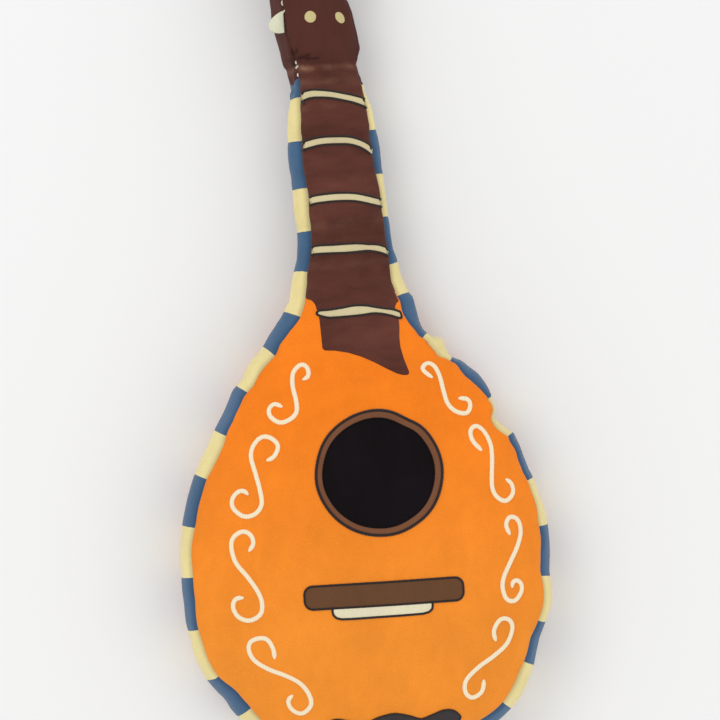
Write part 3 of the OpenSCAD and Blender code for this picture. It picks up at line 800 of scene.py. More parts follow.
# Places where a stripe of the side band ends, as lengths down each edge from the headstock seam.
STRIPE_LEFT = [11, 32, 56, 77, 97.5, 121, 146.1, 175.3, 201.5, 224.7, 250, 274.5, 301.5, 326.7, 346.3]
STRIPE_RIGHT = [
    31, 53.5, 74.6, 99.5, 113, 137.9, 156.3, 183.6, 205.5, 230.3, 253.7, 279, 301.6, 323.3, 346.4,
]
# Above the first and below the last of those places the stripes go on at these lengths.
FIRST_STRIPE = 20
STRIPE_PITCH = 24.5
STRIPES_END = 420

# Stretches along the toy around its two folds.
BEND_ZONES = {
    ("body", "neck"): (NECK_T - 19, NECK_T + 19),
    ("neck", "head"): (HEAD_T - 13, HEAD_T + 14),
}
LOW_FOLD, HIGH_FOLD = BEND_ZONES


def bend(obj, fold):
    """Bakes a piece's placement into its points; the ends of the stretch across the fold are worked out and
    not applied.
    """
    start, end = (tuple(row_place(t)[0] * MM) for t in BEND_ZONES[fold])
    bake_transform(obj)
    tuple(start)
    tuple(end)


def stripe_value(down, bounds):
    """Counts stripes along the band: whole numbers fall on the stripe edges."""
    bounds = [bounds[0] - FIRST_STRIPE] + list(bounds)
    while bounds[-1] < STRIPES_END:
        bounds.append(bounds[-1] + STRIPE_PITCH)
    return np.interp(down, bounds, np.arange(len(bounds)))


def lattice_finder():
    """A search tree over the lattice's points, so that panels share its normals."""
    tree = KDTree(ROWS * AROUND)
    for i, p in enumerate(SKIN.reshape(-1, 3)):
        tree.insert(Vector(p * MM), i)
    tree.balance()
    return tree


LATTICE_TREE = lattice_finder()
LATTICE_NORMALS = SKIN_NORMALS.reshape(-1, 3)


def add_attribute(obj, name, values):
    """A value at each point of a piece, which its material reads."""
    made = obj.data.attributes.new(name, "FLOAT", "POINT")
    made.data.foreach_set("value", values.astype(np.float32))


def panel_piece(name, rows, around, material, fold, nodes):
    """A padded fabric panel cut from the skin's lattice."""
    faces = [f for span in around for f in skin_faces(rows, span)]
    used = sorted({i for f in faces for i in f})
    renumber = {old: new for new, old in enumerate(used)}
    obj = new_mesh(name, SKIN.reshape(-1, 3)[used], [tuple(renumber[i] for i in f) for f in faces])
    # Painted shade with random mottling, and rubbed pile with painted highlight, for the material to read.
    add_attribute(obj, "tone", SKIN_PAINTED_SHADE_AND_MOTTLE.reshape(-1)[used])
    add_attribute(obj, "wear_and_highlight", SKIN_WEAR_AND_HIGHLIGHT.reshape(-1)[used])
    if material == "stripes":
        row, column = np.divmod(used, AROUND)
        down = float(np.interp(HEAD_T, ROW_T, ROW_ALONG)) - ROW_ALONG[row]
        left = (column >= LEFT[0]) | (column == FRONT[0])
        on_left, on_right = stripe_value(down, STRIPE_LEFT) + 1, stripe_value(down, STRIPE_RIGHT)
        add_attribute(obj, "stripe", np.where(left, on_left, on_right))
    weld_points(obj.data, WELD)
    kept = [Vector(LATTICE_NORMALS[LATTICE_TREE.find(v.co)[1]]) for v in obj.data.vertices]
    if sum(f.normal.dot(kept[f.vertices[0]]) for f in obj.data.polygons) < 0:
        obj.data.flip_normals()
    obj.data.normals_split_custom_set_from_vertices(kept)
    dress(obj, material, nodes)
    bend(obj, fold)


FRONT_END = row_at(NECK_T - 3.5)
BODY_END = row_at(NECK_T)
NECK_MID = row_at(NECK_T + 41)
HEAD_START = row_at(SEAM_T)
BAND_START_LEFT = row_at(SEAM_T - 5)
BAND_START_RIGHT = row_at(SEAM_T - 11)
TOP = ROWS - 1

PANELS = [
    ("body_front", (0, FRONT_END), [FRONT], "orange", LOW_FOLD, ["body_front_panel", "body_stuffing"]),
    ("body_back", (0, BODY_END), [BACK], "orange", LOW_FOLD, ["body_back_panel"]),
    ("body_band", (0, BODY_END), [RIGHT, LEFT], "stripes", LOW_FOLD, ["body_gusset"]),
    ("neck_front_low", (FRONT_END, NECK_MID), [FRONT], "brown", LOW_FOLD,
     ["neck_front_panel", "neck_stuffing"]),
    ("neck_back_low", (BODY_END, NECK_MID), [BACK], "brown", LOW_FOLD, ["neck_back_panel"]),
    ("neck_band_left_low", (BODY_END, NECK_MID), [LEFT], "stripes", LOW_FOLD, ["neck_gusset_left"]),
    ("neck_band_right_low", (BODY_END, NECK_MID), [RIGHT], "stripes", LOW_FOLD, ["neck_gusset_right"]),
    ("neck_front_high", (NECK_MID, HEAD_START), [FRONT], "brown", HIGH_FOLD, []),
    ("neck_back_high", (NECK_MID, HEAD_START), [BACK], "brown", HIGH_FOLD, []),
    ("neck_band_left_high", (NECK_MID, BAND_START_LEFT), [LEFT], "stripes", HIGH_FOLD, []),
    ("neck_band_right_high", (NECK_MID, BAND_START_RIGHT), [RIGHT], "stripes", HIGH_FOLD, []),
    ("head_front", (HEAD_START, TOP), [FRONT], "head", HIGH_FOLD, ["head_front_panel", "head_stuffing"]),
    ("head_back", (HEAD_START, TOP), [BACK], "head", HIGH_FOLD, ["head_back_panel"]),
    ("head_band_left", (BAND_START_LEFT, TOP), [LEFT], "head", HIGH_FOLD, ["head_gusset"]),
    ("head_band_right", (BAND_START_RIGHT, TOP), [RIGHT], "head", HIGH_FOLD, []),
]
for entry in PANELS:
    panel_piece(*entry)

# ---------------------------------------------------------------- sewn-on patches and threads

# A patch's edge dips this far under the front.
UNDER = 0.3


def edge_distance(points, outline):
    """Distance from points to a closed outline, in plan."""
    a = np.asarray(outline)
    b = np.roll(a, -1, axis=0)
    best = np.full(len(points), 1e9)
    for p, q in zip(a, b):
        line = q - p
        t = np.clip(((points - p) @ line) / (line @ line), 0, 1)
        best = np.minimum(best, np.linalg.norm(points - p - t[:, None] * line, axis=1))
    return best


def inside(points, outline):
    """Which points lie inside a closed outline, in plan."""
    a = np.asarray(outline)
    b = np.roll(a, -1, axis=0)
    hits = np.zeros(len(points), int)
    for p, q in zip(a, b):
        crosses = (p[1] > points[:, 1]) != (q[1] > points[:, 1])
        x = p[0] + (points[:, 1] - p[1]) / ((q[1] - p[1]) or 1e-12) * (q[0] - p[0])
        hits += crosses & (points[:, 0] < x)
    return hits % 2 == 1


def clearance(points, loops):
    """Distance from points to the nearest of the loops."""
    return np.min([edge_distance(points, loop) for loop in loops], axis=0)


def within(points, loops):
    """Which points lie inside the first loop and outside the others."""
    kept = inside(points, loops[0])
    for loop in loops[1:]:
        kept &= ~inside(points, loop)
    return kept


def inset(loops, which, depth):
    """Points of a loop moved into the patch by a depth, where they keep that distance to every loop."""
    loop = loops[which]
    along = np.roll(loop, -1, axis=0) - np.roll(loop, 1, axis=0)
    n = np.column_stack([-along[:, 1], along[:, 0]]) / np.linalg.norm(along, axis=1)[:, None]
    made = []
    for s in (1, -1):
        moved = loop + n * depth * s
        made.append(moved[within(moved, loops) & (clearance(moved, loops) > depth * 0.93)])
    return np.vstack(made)


def face_outward(obj, upward=False):
    """Turns a closed piece's faces outward, or an open patch's faces upward."""
    b = bmesh.new()
    b.from_mesh(obj.data)
    bmesh.ops.recalc_face_normals(b, faces=b.faces)
    if upward and sum(f.normal.z * f.calc_area() for f in b.faces) < 0:
        bmesh.ops.reverse_faces(b, faces=b.faces)
    b.to_mesh(obj.data)
    b.free()


def plan_mesh(loops, step, round_edge):
    """Points and triangles in plan that fill the first loop around the others, finer at its edge."""
    low, high = loops[0].min(axis=0), loops[0].max(axis=0)
    xs, ys = np.arange(low[0], high[0], step), np.arange(low[1], high[1], step * 0.87)
    grid = np.array([(x + (k % 2) * step / 2, y) for k, y in enumerate(ys) for x in xs])
    keep = within(grid, loops) & (clearance(grid, loops) > round_edge + step * 0.4)
    depths = (0.35 * round_edge, round_edge)
    rings = [inset(loops, k, depth) for k in range(len(loops)) for depth in depths]
    flat = np.vstack(loops + rings + [grid[keep]])
    edges, start = [], 0
    for loop in loops:
        edges += [(start + i, start + (i + 1) % len(loop)) for i in range(len(loop))]
        start += len(loop)
    made = delaunay_2d_cdt([Vector(p) for p in flat], edges, [], 1 if len(loops) == 1 else 0, 1e-5)
    plan = np.array([tuple(v) for v in made[0]])
    centres = np.array([plan[list(f)].mean(axis=0) for f in made[2]])
    return plan, [tuple(f) for f, kept in zip(made[2], within(centres, loops)) if kept]


def patch(name, outline, place, thick, material, nodes, step=1.8, hole=None, round_edge=1.0,
          sink=None, slot=True):
    """A thin patch that follows the front inside a closed outline; sink lowers it by place along."""
    loops = [resample(loop, 1.0, closed=True) for loop in (outline, hole) if loop is not None]
    plan, faces = plan_mesh(loops, step, round_edge)
    rise = np.sqrt(1 - (1 - np.clip(clearance(plan, loops) / round_edge, 0, 1)) ** 2)
    low_by = [sink(p[1]) if sink else 0.0 for p in plan]
    heights = -UNDER + (thick + UNDER) * rise - low_by
    obj = new_mesh(name, [on_front(place, p[0], p[1], h) for p, h in zip(plan, heights)], faces)
    face_outward(obj, upward=True)
    return dress(obj, material, nodes, slot)


def ring_faces(rings, sides, base=0, closed=False):
    """Faces between rings of points, with a cap at each end unless the rings close."""
    faces = []
    for i in range(rings if closed else rings - 1):
        low, high = base + i * sides, base + (i + 1) % rings * sides
        for j in range(sides):
            m = (j + 1) % sides
            faces.append((low + j, low + m, high + m, high + j))
    if not closed:
        faces.append(tuple(base + j for j in range(sides)))
        faces.append(tuple(base + (rings - 1) * sides + j for j in reversed(range(sides))))
    return faces


def tube(name, path, place, radius, material, nodes=None, closed=False, raise_by=0.0, squeeze=0.6,
         beads=0.0, taper=0.0, step=0.4, sides=8, pitch=0.9, slot=False):
    """Thread laid along a path on the front; beads makes it swell at every stitch."""
    flat = resample(path, step, closed=closed)
    line = np.array([on_front(place, p[0], p[1], raise_by) for p in flat])
    up = np.array([on_front(place, p[0], p[1], raise_by + 1.0) for p in flat]) - line
    if closed:
        along = np.roll(line, -1, axis=0) - np.roll(line, 1, axis=0)
    else:
        along = np.gradient(line, axis=0)
    side = np.cross(along, up)
    side /= np.linalg.norm(side, axis=1)[:, None]
    up /= np.linalg.norm(up, axis=1)[:, None]
    s = np.arange(len(flat)) * step
    swell = 1 + beads * np.abs(np.sin(math.pi * s / pitch))
    if taper:
        ends = np.clip(np.minimum(s, s[-1] - s) / taper, 0, 1)
        swell = swell * np.sqrt(0.12 + 0.88 * ends)
    points = []
    for i in range(len(flat)):
        for a in np.linspace(0, 2 * math.pi, sides, endpoint=False):
            around = side[i] * math.cos(a) + up[i] * math.sin(a) * squeeze
            points.append(line[i] + radius * swell[i] * around)
    obj = new_mesh(name, points, ring_faces(len(flat), sides, closed=closed))
    face_outward(obj)
    return dress(obj, material, nodes, slot)


def edging(name, path, place, raise_by, radius=0.55, beads=0.12, **more):
    """The dark thread along a patch's edge."""
    return tube(name, path, place, radius, "edge", raise_by=raise_by, beads=beads, **more)


def ride(pieces, body):
    for obj in pieces:
        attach(obj, body)


def turn(points, degrees, at=(0, 0)):
    a = math.radians(degrees)
    r = np.array([[math.cos(a), -math.sin(a)], [math.sin(a), math.cos(a)]])
    return np.asarray(points, float) @ r.T + np.asarray(at, float)


def circle(centre, radius, count, wobble, seed):
    """A circle of points whose radius wanders by a share of itself."""
    made = []
    for k in range(count):
        a = 2 * math.pi * k / count
        r = radius * (1 + wobble * noise.noise(Vector((math.cos(a) * 2 + seed, math.sin(a) * 2, seed))))
        made.append((centre[0] + r * math.cos(a), centre[1] + r * math.sin(a)))
    return np.array(made)


def bar_outline(length, width, radius, steps=16):
    """Rounded bar around the origin."""
    x0, y0 = length / 2 - radius, width / 2 - radius
    made = []
    for k, (cx, cy) in enumerate([(x0, y0), (-x0, y0), (-x0, -y0), (x0, -y0)]):
        for a in np.radians(np.linspace(90 * k, 90 * k + 90, 6)):
            made.append((cx + radius * math.cos(a), cy + radius * math.sin(a)))
        if k in (0, 2):
            y = cy + (radius if k == 0 else -radius)
            made += [(x, y) for x in np.linspace(cx, -cx, steps)[1:-1]]
    return np.array(made)


# ---------------------------------------------------------------- the front's decoration

# The decoration's points are given at full spread and settled toward this place, as on the CAD front.
ART_CENTRE = np.array([-0.6, 92.5])
ART_SPREAD = 0.985
# The bridge and its saddle lean by this many degrees.
ART_LEAN = 2.0


def settled(points):
    return ART_CENTRE + (np.asarray(points, float) - ART_CENTRE) * ART_SPREAD


def box_centre(node):
    """Middle of a CAD node's box, in millimetres."""
    low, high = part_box(node)
    return (np.array(low) + np.array(high)) / 2 / MM


def box_radius(node):
    """Half the width of a CAD node's box, in millimetres."""
    low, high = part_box(node)
    return (high[0] - low[0]) / 2 / MM


HOLE_AT = box_centre("sound_hole_ring")[:2] + (-0.4, 0.0)
# Dents in the sound hole's outline: angle in degrees, width in degrees and depth as a share of the radius.
HOLE_DENTS = [(62, 12, 0.034), (88, 14, -0.008)]


def dented_circle(centre, radius, count, squash):
    """The sound hole's outline: uneven, a little flattened, with a dent at the upper right."""
    made = circle(centre, radius, count, 0.012, 1)
    made[:, 1] = centre[1] + (made[:, 1] - centre[1]) * squash
    for k in range(count):
        a = math.degrees(2 * math.pi * k / count)
        pull = 1 - sum(depth * math.exp(-(((a - at) / width) ** 2)) for at, width, depth in HOLE_DENTS)
        made[k] = centre + (made[k] - centre) * pull
    return made


def build_sound_hole():
    ring_radius, disc_radius = box_radius("sound_hole_ring"), box_radius("sound_hole_patch")
    under = dented_circle(HOLE_AT, disc_radius + 1.9, 100, 0.98)
    inner = dented_circle(HOLE_AT + (-0.3, -0.1), disc_radius + 0.5, 100, 0.975)
    outer = dented_circle(HOLE_AT, ring_radius - 0.5, 110, 0.983)
    pieces = [
        patch("sound_hole_pile", under, "body", 0.3, "hole", ["sound_hole_patch"]),
        patch("sound_hole_rim", outer, "body", 0.55, "ring", ["sound_hole_ring"], hole=inner),
        edging("sound_hole_edge", outer, "body", 0.3, 0.5, 0.85, closed=True, step=0.22, pitch=1.0),
        tube("sound_hole_inner_edge", inner, "body", 0.35, "hole", closed=True, raise_by=0.4,
             beads=0.3, step=0.3),
    ]
    ride(pieces, "body")


BRIDGE_SIZE = (78.2, 11.3, 4.0)
# The saddle's outline below the bridge, from its middle.
SADDLE = [
    (-25.2, 1), (-25.2, -1.6), (-24.8, -3.1), (-23.4, -4.5), (-21, -5.2), (-16, -5.3), (0, -5.2),
    (14, -5.1), (20, -5.0), (23, -4.4), (24.7, -3.0), (25.0, -1.4), (25.0, 1),
]


def build_bridge():
    at = box_centre("bridge_patch")[:2]
    outline = turn(bar_outline(*BRIDGE_SIZE), ART_LEAN, at)
    saddle = turn(np.array(SADDLE) * (0.98, 1) + (-1.1, -6.0), ART_LEAN, at)
    pieces = [
        patch("saddle", saddle, "body", 0.4, "saddle", ["saddle_patch"], slot="fret_cream"),
        edging("saddle_edge", saddle, "body", 0.25),
        patch("bridge", outline, "body", 0.6, "bridge", ["bridge_patch"]),
        edging("bridge_edge", outline, "body", 0.35, closed=True),
    ]
    ride(pieces, "body")


# The tailpiece's wavy upper edge, and its lower edge: a bow below a line from right to left.
TAIL_TOP = [
    (-26.5, -94), (-24.2, -91), (-22, -88.2), (-18, -86.8), (-12, -87.8), (-4, -88.8), (3.4, -86.2),
    (10.6, -84.7), (18, -86), (24, -87.8), (30, -85.8), (35.5, -83.8), (40.5, -84.2), (44, -87.5),
    (45, -92),
]
TAIL_LOW_FROM, TAIL_LOW_TO = np.array([44.6, -92]), np.array([-21.7, -92])
TAIL_LOW_BOW = 6.3
TAIL_LOW_STEPS = 30


def build_tailpiece():
    share = np.arange(1, TAIL_LOW_STEPS)[:, None] / TAIL_LOW_STEPS
    low = TAIL_LOW_FROM + (TAIL_LOW_TO - TAIL_LOW_FROM) * share - (0, TAIL_LOW_BOW) * np.sin(math.pi * share)
    outline = settled(np.vstack([catmull(TAIL_TOP, 6), low]))
    pieces = [
        patch("tailpiece", outline, "body", 0.5, "tail", ["tailpiece_patch"]),
        edging("tailpiece_edge", outline, "body", 0.3, 0.5, closed=True),
    ]
    ride(pieces, "body")


# The fingerboard's lower end, up its right side, across under the neck and down its left side.
TONGUE_LOW = [
    (-20.1, 98.6), (-19, 97.5), (-13.7, 97.2), (-7.5, 96.1), (-0.9, 93.9), (5.6, 90.9), (12.2, 87.2),
    (16.5, 85.1), (20, 84.2), (22.1, 84.4),
]
TONGUE_RIGHT = [
    (22.7, 85.6), (22, 87.8), (20.4, 92.3), (18.8, 98.5), (18.5, 103.8), (18.8, 108.3), (18.6, 111.8),
    (17.4, 115.8), (16.9, 117.8), (17.3, 119.6), (18.4, 120.8), (19.6, 120.6), (22.4, 121.6), (22.4, 128),
    (21.6, 132.4),
]
TONGUE_LEFT = [
    (-27, 132.4), (-28.6, 128), (-28.8, 122.8), (-27.2, 122.4), (-26, 123), (-24.6, 122.4), (-23.2, 120.8),
    (-22.3, 117.7), (-21.2, 113.3), (-20.6, 105.7),
]
# The fingerboard's end stays this far inside the front's seams.
SEAM_CLEAR = 0.4
# Under the neck's own panel it sinks by this much, between these places along the toy.
TONGUE_SINK = 0.8
TONGUE_SINKS = (127.5, 131.5)


def build_tongue():
    outline = np.vstack([TONGUE_LOW, TONGUE_RIGHT, TONGUE_LEFT])
    rows = slice(row_at(80), row_at(150))
    left, right = (np.interp(outline[:, 1], SKIN[rows, k, 1], SKIN[rows, k, 0]) for k in FRONT)
    outline[:, 0] = np.clip(outline[:, 0], left + SEAM_CLEAR, right - SEAM_CLEAR)

    def sink(y):
        return TONGUE_SINK * float(smoothstep(*TONGUE_SINKS, y))

    tongue = patch("fingerboard_end", outline, "body", 0.45, "brown", ["fingerboard_tongue"], sink=sink)
    bend(tongue, LOW_FOLD)


# Frets from the headstock down, in the neck's frame: points of the middle line from seam to seam, and
# the widths between the two dark edges at even steps along it.
FRET_LINES = {
    "fret_1": (
        [
            (-15.7, 91.5), (-13.9, 92.3), (-11.6, 93), (-9.3, 93.3), (-6.2, 93.1), (-0.2, 92), (3.9, 90.8),
            (7.6, 89.6), (11.3, 88.4), (15, 86.9), (19.6, 84.8),
        ],
        [4.2, 4.0, 3.7, 3.6, 3.7, 4.1],
    ),
    "fret_2": (
        [
            (-18.6, 67.6), (-16.6, 68.1), (-12.7, 68.8), (-8.8, 69.3), (-4.9, 69.3), (-1.5, 69),
            (4.6, 68.3), (8.4, 67.4), (12, 65.9), (14.9, 64.1), (18.5, 60.9),
        ],
        [3.8, 4.0, 4.0, 3.9, 3.7, 3.6],
    ),
    "fret_3": (
        [
            (-20.6, 40.1), (-18.1, 40.5), (-15, 40.9), (-12.5, 41.1), (-3.9, 40.9), (4.6, 39.9), (10, 38.4),
            (14.7, 36.8), (18.3, 35.6), (21.5, 34.6),
        ],
        [4.0, 4.1, 4.1, 4.0, 3.9, 3.8],
    ),
    "fret_4": (
        [
            (-21.4, 16), (-19, 16.1), (-15.8, 16.2), (-9.7, 15.7), (-3.6, 15.2), (1.3, 14.9), (5.6, 14.6),
            (9.2, 14.1), (12.3, 13.6), (15.3, 12.7), (19.2, 10.8), (21.6, 9.4),
        ],
        [4.0, 4.2, 4.2, 4.5, 4.3, 3.4, 3.8, 3.6],
    ),
}
# The fret on the body, whose right end is square: its upper edge, its lower edge, and a point at each end.
FRET_5_TOP = [
    (-21.6, 117), (-20.4, 117.5), (-15.8, 117.8), (-9.6, 118.6), (-3.8, 119.5), (1.9, 119.4), (6.3, 118.6),
    (10.7, 117.8), (15.2, 117.1), (18.3, 116.1),
]
FRET_5_LOW = [
    (19.3, 112.6), (14.2, 114), (9.8, 115), (5.4, 115.3), (-0.4, 114.6), (-7.1, 114.1), (-13.3, 113.8),
    (-16.8, 113.8), (-20.7, 114.9),
]
FRET_5_RIGHT, FRET_5_LEFT = (19.3, 115.2), (-22.2, 115.9)
# A path counts as on the front where the surface leans back from it less than this, as a cosine.
STEEPEST = 0.7


def rounded(path, spacing=0.5, times=5):
    """Softens the corners of a path and keeps its two ends."""
    path = resample(path, spacing)
    for _ in range(times):
        path[1:-1] = path[1:-1] * 0.5 + (path[2:] + path[:-2]) * 0.25
    return path


def over_front(place, path):
    """The part of a path that lies on the front, between the two seams."""
    up = PLACES[place][1][:, 2]
    lifts = [on_front(place, p[0], p[1], 1.0) - on_front(place, p[0], p[1]) for p in path]
    return path[np.array(lifts) @ up > STEEPEST]


def band_sides(line, widths, place):
    """The two edges of a band around a middle line that runs from seam to seam."""
    line = np.array(line)
    guided = np.vstack([2 * line[0] - line[1], line, 2 * line[-1] - line[-2]])
    path = over_front(place, rounded(catmull(guided, 6), 0.4, 12))
    along = np.gradient(path, axis=0)
    across = np.column_stack([-along[:, 1], along[:, 0]]) / np.linalg.norm(along, axis=1)[:, None]
    width = np.interp(np.linspace(0, 1, len(path)), np.linspace(0, 1, len(widths)), widths)[:, None]
    return path + across * width / 2, path - across * width / 2


def build_frets():
    for name, (line, widths) in FRET_LINES.items():
        high, low = band_sides(line, widths, "neck")
        fold = LOW_FOLD if name == "fret_4" else HIGH_FOLD
        bar = np.vstack([high, low[::-1]])
        bend(patch("bar_" + name, bar, "neck", 0.4, "fret", [name], step=1.2), fold)
        for side, edge in (("upper", high), ("lower", low)):
            bend(edging("%s_edge_%s" % (side, name), edge, "neck", 0.28, taper=0.8), fold)
    loop = FRET_5_TOP + [FRET_5_RIGHT] + FRET_5_LOW + [FRET_5_LEFT]
    outline = catmull([loop[-1]] + loop + loop[:2], 5)[:-1]
    bend(patch("bar_fret_5", outline, "body", 0.8, "fret", ["fret_5"], step=1.2), LOW_FOLD)
    bend(edging("edge_fret_5", outline, "body", 0.6, closed=True), LOW_FOLD)


# Embroidered scrolls, as points along each thread.
SCROLLS = {
    "scroll_left_1": [
        (-30.8, 83.2), (-27.8, 85), (-28, 89), (-31, 91), (-35, 87.4), (-35.8, 81), (-34.4, 73.5),
        (-34.1, 68), (-36.6, 64.4), (-42.2, 62.2), (-47, 64.9), (-48, 68.7), (-45.3, 71.6), (-41.2, 70),
    ],
    "scroll_left_2": [
        (-50, 43.5), (-46, 45.5), (-44, 51), (-48, 55), (-52.5, 55), (-56.5, 50.5), (-57.5, 45),
        (-55.5, 37), (-53.5, 28.5), (-53, 21.5), (-56.5, 17), (-62, 16), (-67, 20), (-67.5, 24.5),
        (-64.6, 28.2), (-61.4, 28.6), (-59.4, 26.6),
    ],
    "scroll_left_3": [
        (-60, -1.5), (-57.5, 2.5), (-59, 7), (-63, 8.5), (-67.5, 5.5), (-68.5, 0.5), (-66.5, -7),
        (-61, -14), (-56, -21.5), (-54, -27.5), (-55, -33), (-60.5, -36), (-66, -34), (-68.5, -29),
        (-67, -25), (-63, -24.5),
    ],
    "scroll_left_4": [
        (-48.5, -55.5), (-49, -50.5), (-52, -45.5), (-56.5, -45), (-60.5, -47), (-61, -51.5), (-58, -56.5),
        (-51, -60.8), (-43, -64), (-36, -68), (-31.6, -74), (-31, -79.5), (-35.5, -83.4), (-40.2, -81.4),
        (-42.2, -77), (-39.8, -73.8),
    ],
    "scroll_right_1": [
        (34.5, 82.5), (29.5, 87), (32, 90), (35.5, 88.5), (38, 83.5), (39.5, 76.5), (41.5, 69.5),
        (45.5, 65.5), (51, 64.5), (53, 68.5), (51.5, 71.5), (47, 72),
    ],
    "scroll_right_2": [
        (58, 45.5), (53.5, 50.5), (52.5, 55.5), (55.5, 58), (59.5, 55), (62.5, 48.5), (63, 41.5),
        (62.5, 33), (62.5, 27), (64.5, 22.5), (69, 20), (73, 23.5), (72.5, 28.5), (69.5, 31),
    ],
    "scroll_right_3": [
        (71, 3), (69, 8), (71, 12), (75, 10.5), (76.5, 4.5), (74.5, -3), (70.5, -11), (67, -18.5),
        (66.5, -24), (68.5, -29.2), (72.6, -30), (76, -25.6), (76, -21.8), (73.8, -19.8), (71.6, -20.8),
        (71.4, -23.6),
    ],
    "scroll_right_4": [
        (62.5, -50), (61.5, -44.5), (65, -39), (69.5, -39.5), (71, -44), (68, -51.5), (61, -57.5),
        (53.5, -62.5), (47, -69), (46.5, -75), (50, -78), (55, -75), (56, -69),
    ],
}


def build_scrolls():
    for name, points in SCROLLS.items():
        path = rounded(settled(catmull([points[0]] + points + [points[-1]], 8)))
        obj = tube("thread_" + name, path, "body", 1.1, "scroll", [name], raise_by=0.2, beads=0.1, taper=2.0,
                   step=0.3, sides=10, pitch=0.7, slot=True)
        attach(obj, "body")


# The dots of a side: how far they sit from their CAD nodes, in the headstock's frame.
DOT_SHIFT = {"left": (0.9, -0.4), "right": (0.1, -0.5)}
DOT_RADIUS = 3.1
# The right dots are pulled long: the way they lean in degrees, and their two stretches.
DOT_LEAN = 62
DOT_STRETCH = (1.06, 0.8)


def build_dots():
    for row in range(1, 6):
        for side, shift in DOT_SHIFT.items():
            node = "post_dot_%s_%d" % (side, row)
            centre = (HEAD_AXES.T @ (box_centre(node) - HEAD_AT))[:2] + shift
            outline = circle((0, 0), DOT_RADIUS, 26, 0.05, row + (side == "left"))
            if side == "right":
                outline = turn(turn(outline, DOT_LEAN) * DOT_STRETCH, -DOT_LEAN)
            name = "dot_%s_%d" % (side, row)
            obj = patch(name, outline + centre, "head", 0.35, "dot", [node], step=1.2, round_edge=0.7)
            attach(obj, "head")


# ---------------------------------------------------------------- felt tabs and hand stitches

# A tab: how far it stands out, half its width along the seam, and how far its root lies under the seam.
TAB_OUT = 8.6
TAB_HALF = 5.4
TAB_UNDER = 1.2
# Its edge's thickness, its filling's height near the root and farther out, and where that is reached.
TAB_EDGE = 0.2
TAB_PLUMP_ROOT = 0.35
TAB_PLUMP = 1.0
TAB_PLUMP_FROM = 3
# It leans outward at its lower end, narrows toward its upper end and sags a little.
TAB_SKEW = 0.13
TAB_NARROW = 0.14
TAB_SAG = 0.9
TAB_SHORTEN = 0.95
TAB_STEPS = 20
TAB_RINGS = 10


def tab_point(angle, part, sign):
    """A point of a tab's upper or lower face: how far outward, along the seam and up."""
    x = TAB_OUT * math.sin(angle) * part
    y = -TAB_HALF * math.cos(angle)
    full = max(0.0, 1 - (x / TAB_OUT) ** 2 - (y / TAB_HALF) ** 2)
    plump = TAB_EDGE + math.sqrt(full) * (TAB_PLUMP_ROOT + TAB_PLUMP * min(1, x / TAB_PLUMP_FROM))
    out = x * TAB_SHORTEN - TAB_UNDER + TAB_SKEW * (TAB_HALF - y)
    along = y * (1 - TAB_NARROW * math.sin(angle) * (y > 0)) - TAB_SAG * x / TAB_OUT
    return out, along, sign * plump


def tab_faces():
    """Faces of a tab's two sides and of the wall between them."""
    faces = []
    per = TAB_RINGS + 1
    base = (TAB_STEPS + 1) * per
    for i in range(TAB_STEPS):
        here, there = i * per, (i + 1) * per
        for j in range(TAB_RINGS):
            a, b, c, d = here + j, here + j + 1, there + j + 1, there + j
            faces += [(a, b, c, d), (base + d, base + c, base + b, base + a)]
        rim, next_rim = here + TAB_RINGS, there + TAB_RINGS
        faces.append((rim, base + rim, base + next_rim, next_rim))
        faces.append((here, there, base + there, base + here))
    return faces


def build_tabs():
    """Padded felt tabs, each sewn into the front seam along its fold's axis."""
    angles = [math.pi * i / TAB_STEPS for i in range(TAB_STEPS + 1)]
    parts = [j / TAB_RINGS for j in range(TAB_RINGS + 1)]
    shape = np.array([tab_point(a, part, sign) for sign in (1, -1) for a in angles for part in parts])
    for name, joint in joints.items():
        if not name.startswith("tab_"):
            continue
        along = np.array(joint["axis"], float)
        along /= np.linalg.norm(along)
        outward = HEAD_AXES[:, 0] * (-1 if "left" in name else 1)
        points = np.array(joint["pos_m"]) / MM + shape @ np.array([outward, along, HEAD_AXES[:, 2]])
        obj = new_mesh("felt_" + joint["child"], points, tab_faces(), weld=0.02)
        face_outward(obj)
        dress(obj, "felt", ["peg_" + joint["child"]])
        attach(obj, joint["child"])


# Hand stitches that show: how far past the headstock's fold each lies, and half its length.
STITCHES = [(-0.8, 1.0), (2.9, 1.0), (5.6, 1.0), (33, 1.4), (36.6, 1.4)]
STITCH_RADIUS = 0.42
# The ways they lean from the seam in turn, in radians.
STITCH_LEANS = (0.15, 1.0)
STITCH_RINGS = 9
STITCH_SIDES = 8


def unit(vector):
    return vector / np.linalg.norm(vector)


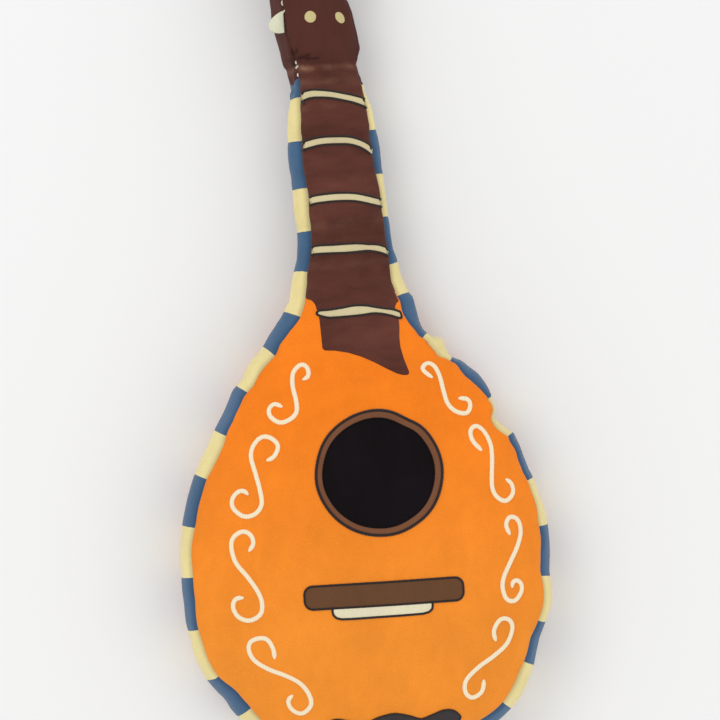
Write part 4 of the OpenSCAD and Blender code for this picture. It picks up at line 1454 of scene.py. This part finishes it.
def build_closing_stitches():
    """Hand stitches over the left seam of the headstock and a few at its lower seam."""
    points, faces = [], []
    column = FRONT[0]
    for k, (past, half_length) in enumerate(STITCHES):
        row = row_at(HEAD_T + past)
        ahead = unit(SKIN[row + 1, column] - SKIN[row - 1, column])
        over = unit(SKIN[row, column + 3] - SKIN[row, column - 3])
        up = unit(np.cross(over, ahead))
        lean = STITCH_LEANS[k % 2]
        direction = ahead * math.cos(lean) + over * math.sin(lean)
        side = np.cross(direction, up)
        faces += ring_faces(STITCH_RINGS, STITCH_SIDES, base=len(points))
        for u in np.linspace(-1, 1, STITCH_RINGS):
            r = STITCH_RADIUS * math.sqrt(max(0.04, 1 - abs(u) ** 4))
            centre = SKIN[row, column] + direction * u * half_length + up * (0.5 + 0.4 * (1 - u * u))
            for a in np.linspace(0, 2 * math.pi, STITCH_SIDES, endpoint=False):
                points.append(centre + r * (side * math.cos(a) + up * math.sin(a)))
    obj = new_mesh("hand_stitches", points, faces)
    face_outward(obj)
    dress(obj, "stitch", ["closing_stitches"])
    bend(obj, HIGH_FOLD)


build_sound_hole()
build_bridge()
build_tailpiece()
build_tongue()
build_frets()
build_scrolls()
build_dots()
build_tabs()
build_closing_stitches()

# ---------------------------------------------------------------- stage, light and camera

FLOOR_HALF = 3.0
# Lamps in metres and watts: place, size and power. Both look at the toy's middle.
LAMPS = {"key": ((-0.8, 0.9, 1.6), 1.0, 6), "fill": ((1.0, -0.5, 1.5), 1.4, 2.5)}
LAMPS_LOOK_AT = Vector((0, 0.1, 0))
SKY = 0.82


def build_stage():
    mesh = bpy.data.meshes.new("floor")
    s = FLOOR_HALF
    mesh.from_pydata([(-s, -s, 0), (s, -s, 0), (s, s, 0), (-s, s, 0)], [], [(0, 1, 2, 3)])
    floor = bpy.data.objects.new("floor", mesh)
    bpy.context.scene.collection.objects.link(floor)
    surface = Shader("pale_floor")
    surface.bsdf.inputs["Base Color"].default_value = (0.93, 0.93, 0.93, 1)
    surface.bsdf.inputs["Roughness"].default_value = 0.9
    floor.data.materials.append(surface.material)


def build_light():
    world = bpy.data.worlds.new("studio")
    bpy.context.scene.world = world
    world.use_nodes = True
    world.node_tree.nodes["Background"].inputs["Color"].default_value = (1, 1, 1, 1)
    world.node_tree.nodes["Background"].inputs["Strength"].default_value = SKY
    for name, (at, size, power) in LAMPS.items():
        data = bpy.data.lights.new(name, "AREA")
        data.shape = "DISK"
        data.size = size
        data.energy = power
        light = bpy.data.objects.new(name, data)
        light.location = at
        light.rotation_euler = (LAMPS_LOOK_AT - Vector(at)).to_track_quat("-Z", "Y").to_euler()
        bpy.context.scene.collection.objects.link(light)
    bpy.context.scene.view_settings.view_transform = "Standard"


# The view: rolled a little, and from slightly to the left of straight above, in degrees and metres.
VIEW_CENTRE = Vector((*ART_CENTRE, MID)) * MM
VIEW_ROLL = 1.5
VIEW_TILT = 2.5
VIEW_DISTANCE = 1.9
VIEW_WIDTH = 0.36
SENSOR = 36


def build_camera():
    roll, tilt = math.radians(VIEW_ROLL), math.radians(VIEW_TILT)
    back = Vector((-math.sin(tilt), 0, math.cos(tilt)))
    up = Vector((math.sin(roll), math.cos(roll), 0))
    right = up.cross(back).normalized()
    up = back.cross(right)
    data = bpy.data.cameras.new("camera")
    data.sensor_width = SENSOR
    data.lens = SENSOR * VIEW_DISTANCE / VIEW_WIDTH
    camera = bpy.data.objects.new("camera", data)
    turned_to = Matrix((right, up, back)).transposed()
    camera.matrix_world = Matrix.Translation(VIEW_CENTRE + back * VIEW_DISTANCE) @ turned_to.to_4x4()
    bpy.context.scene.collection.objects.link(camera)
    bpy.context.scene.camera = camera


build_stage()
build_light()
build_camera()
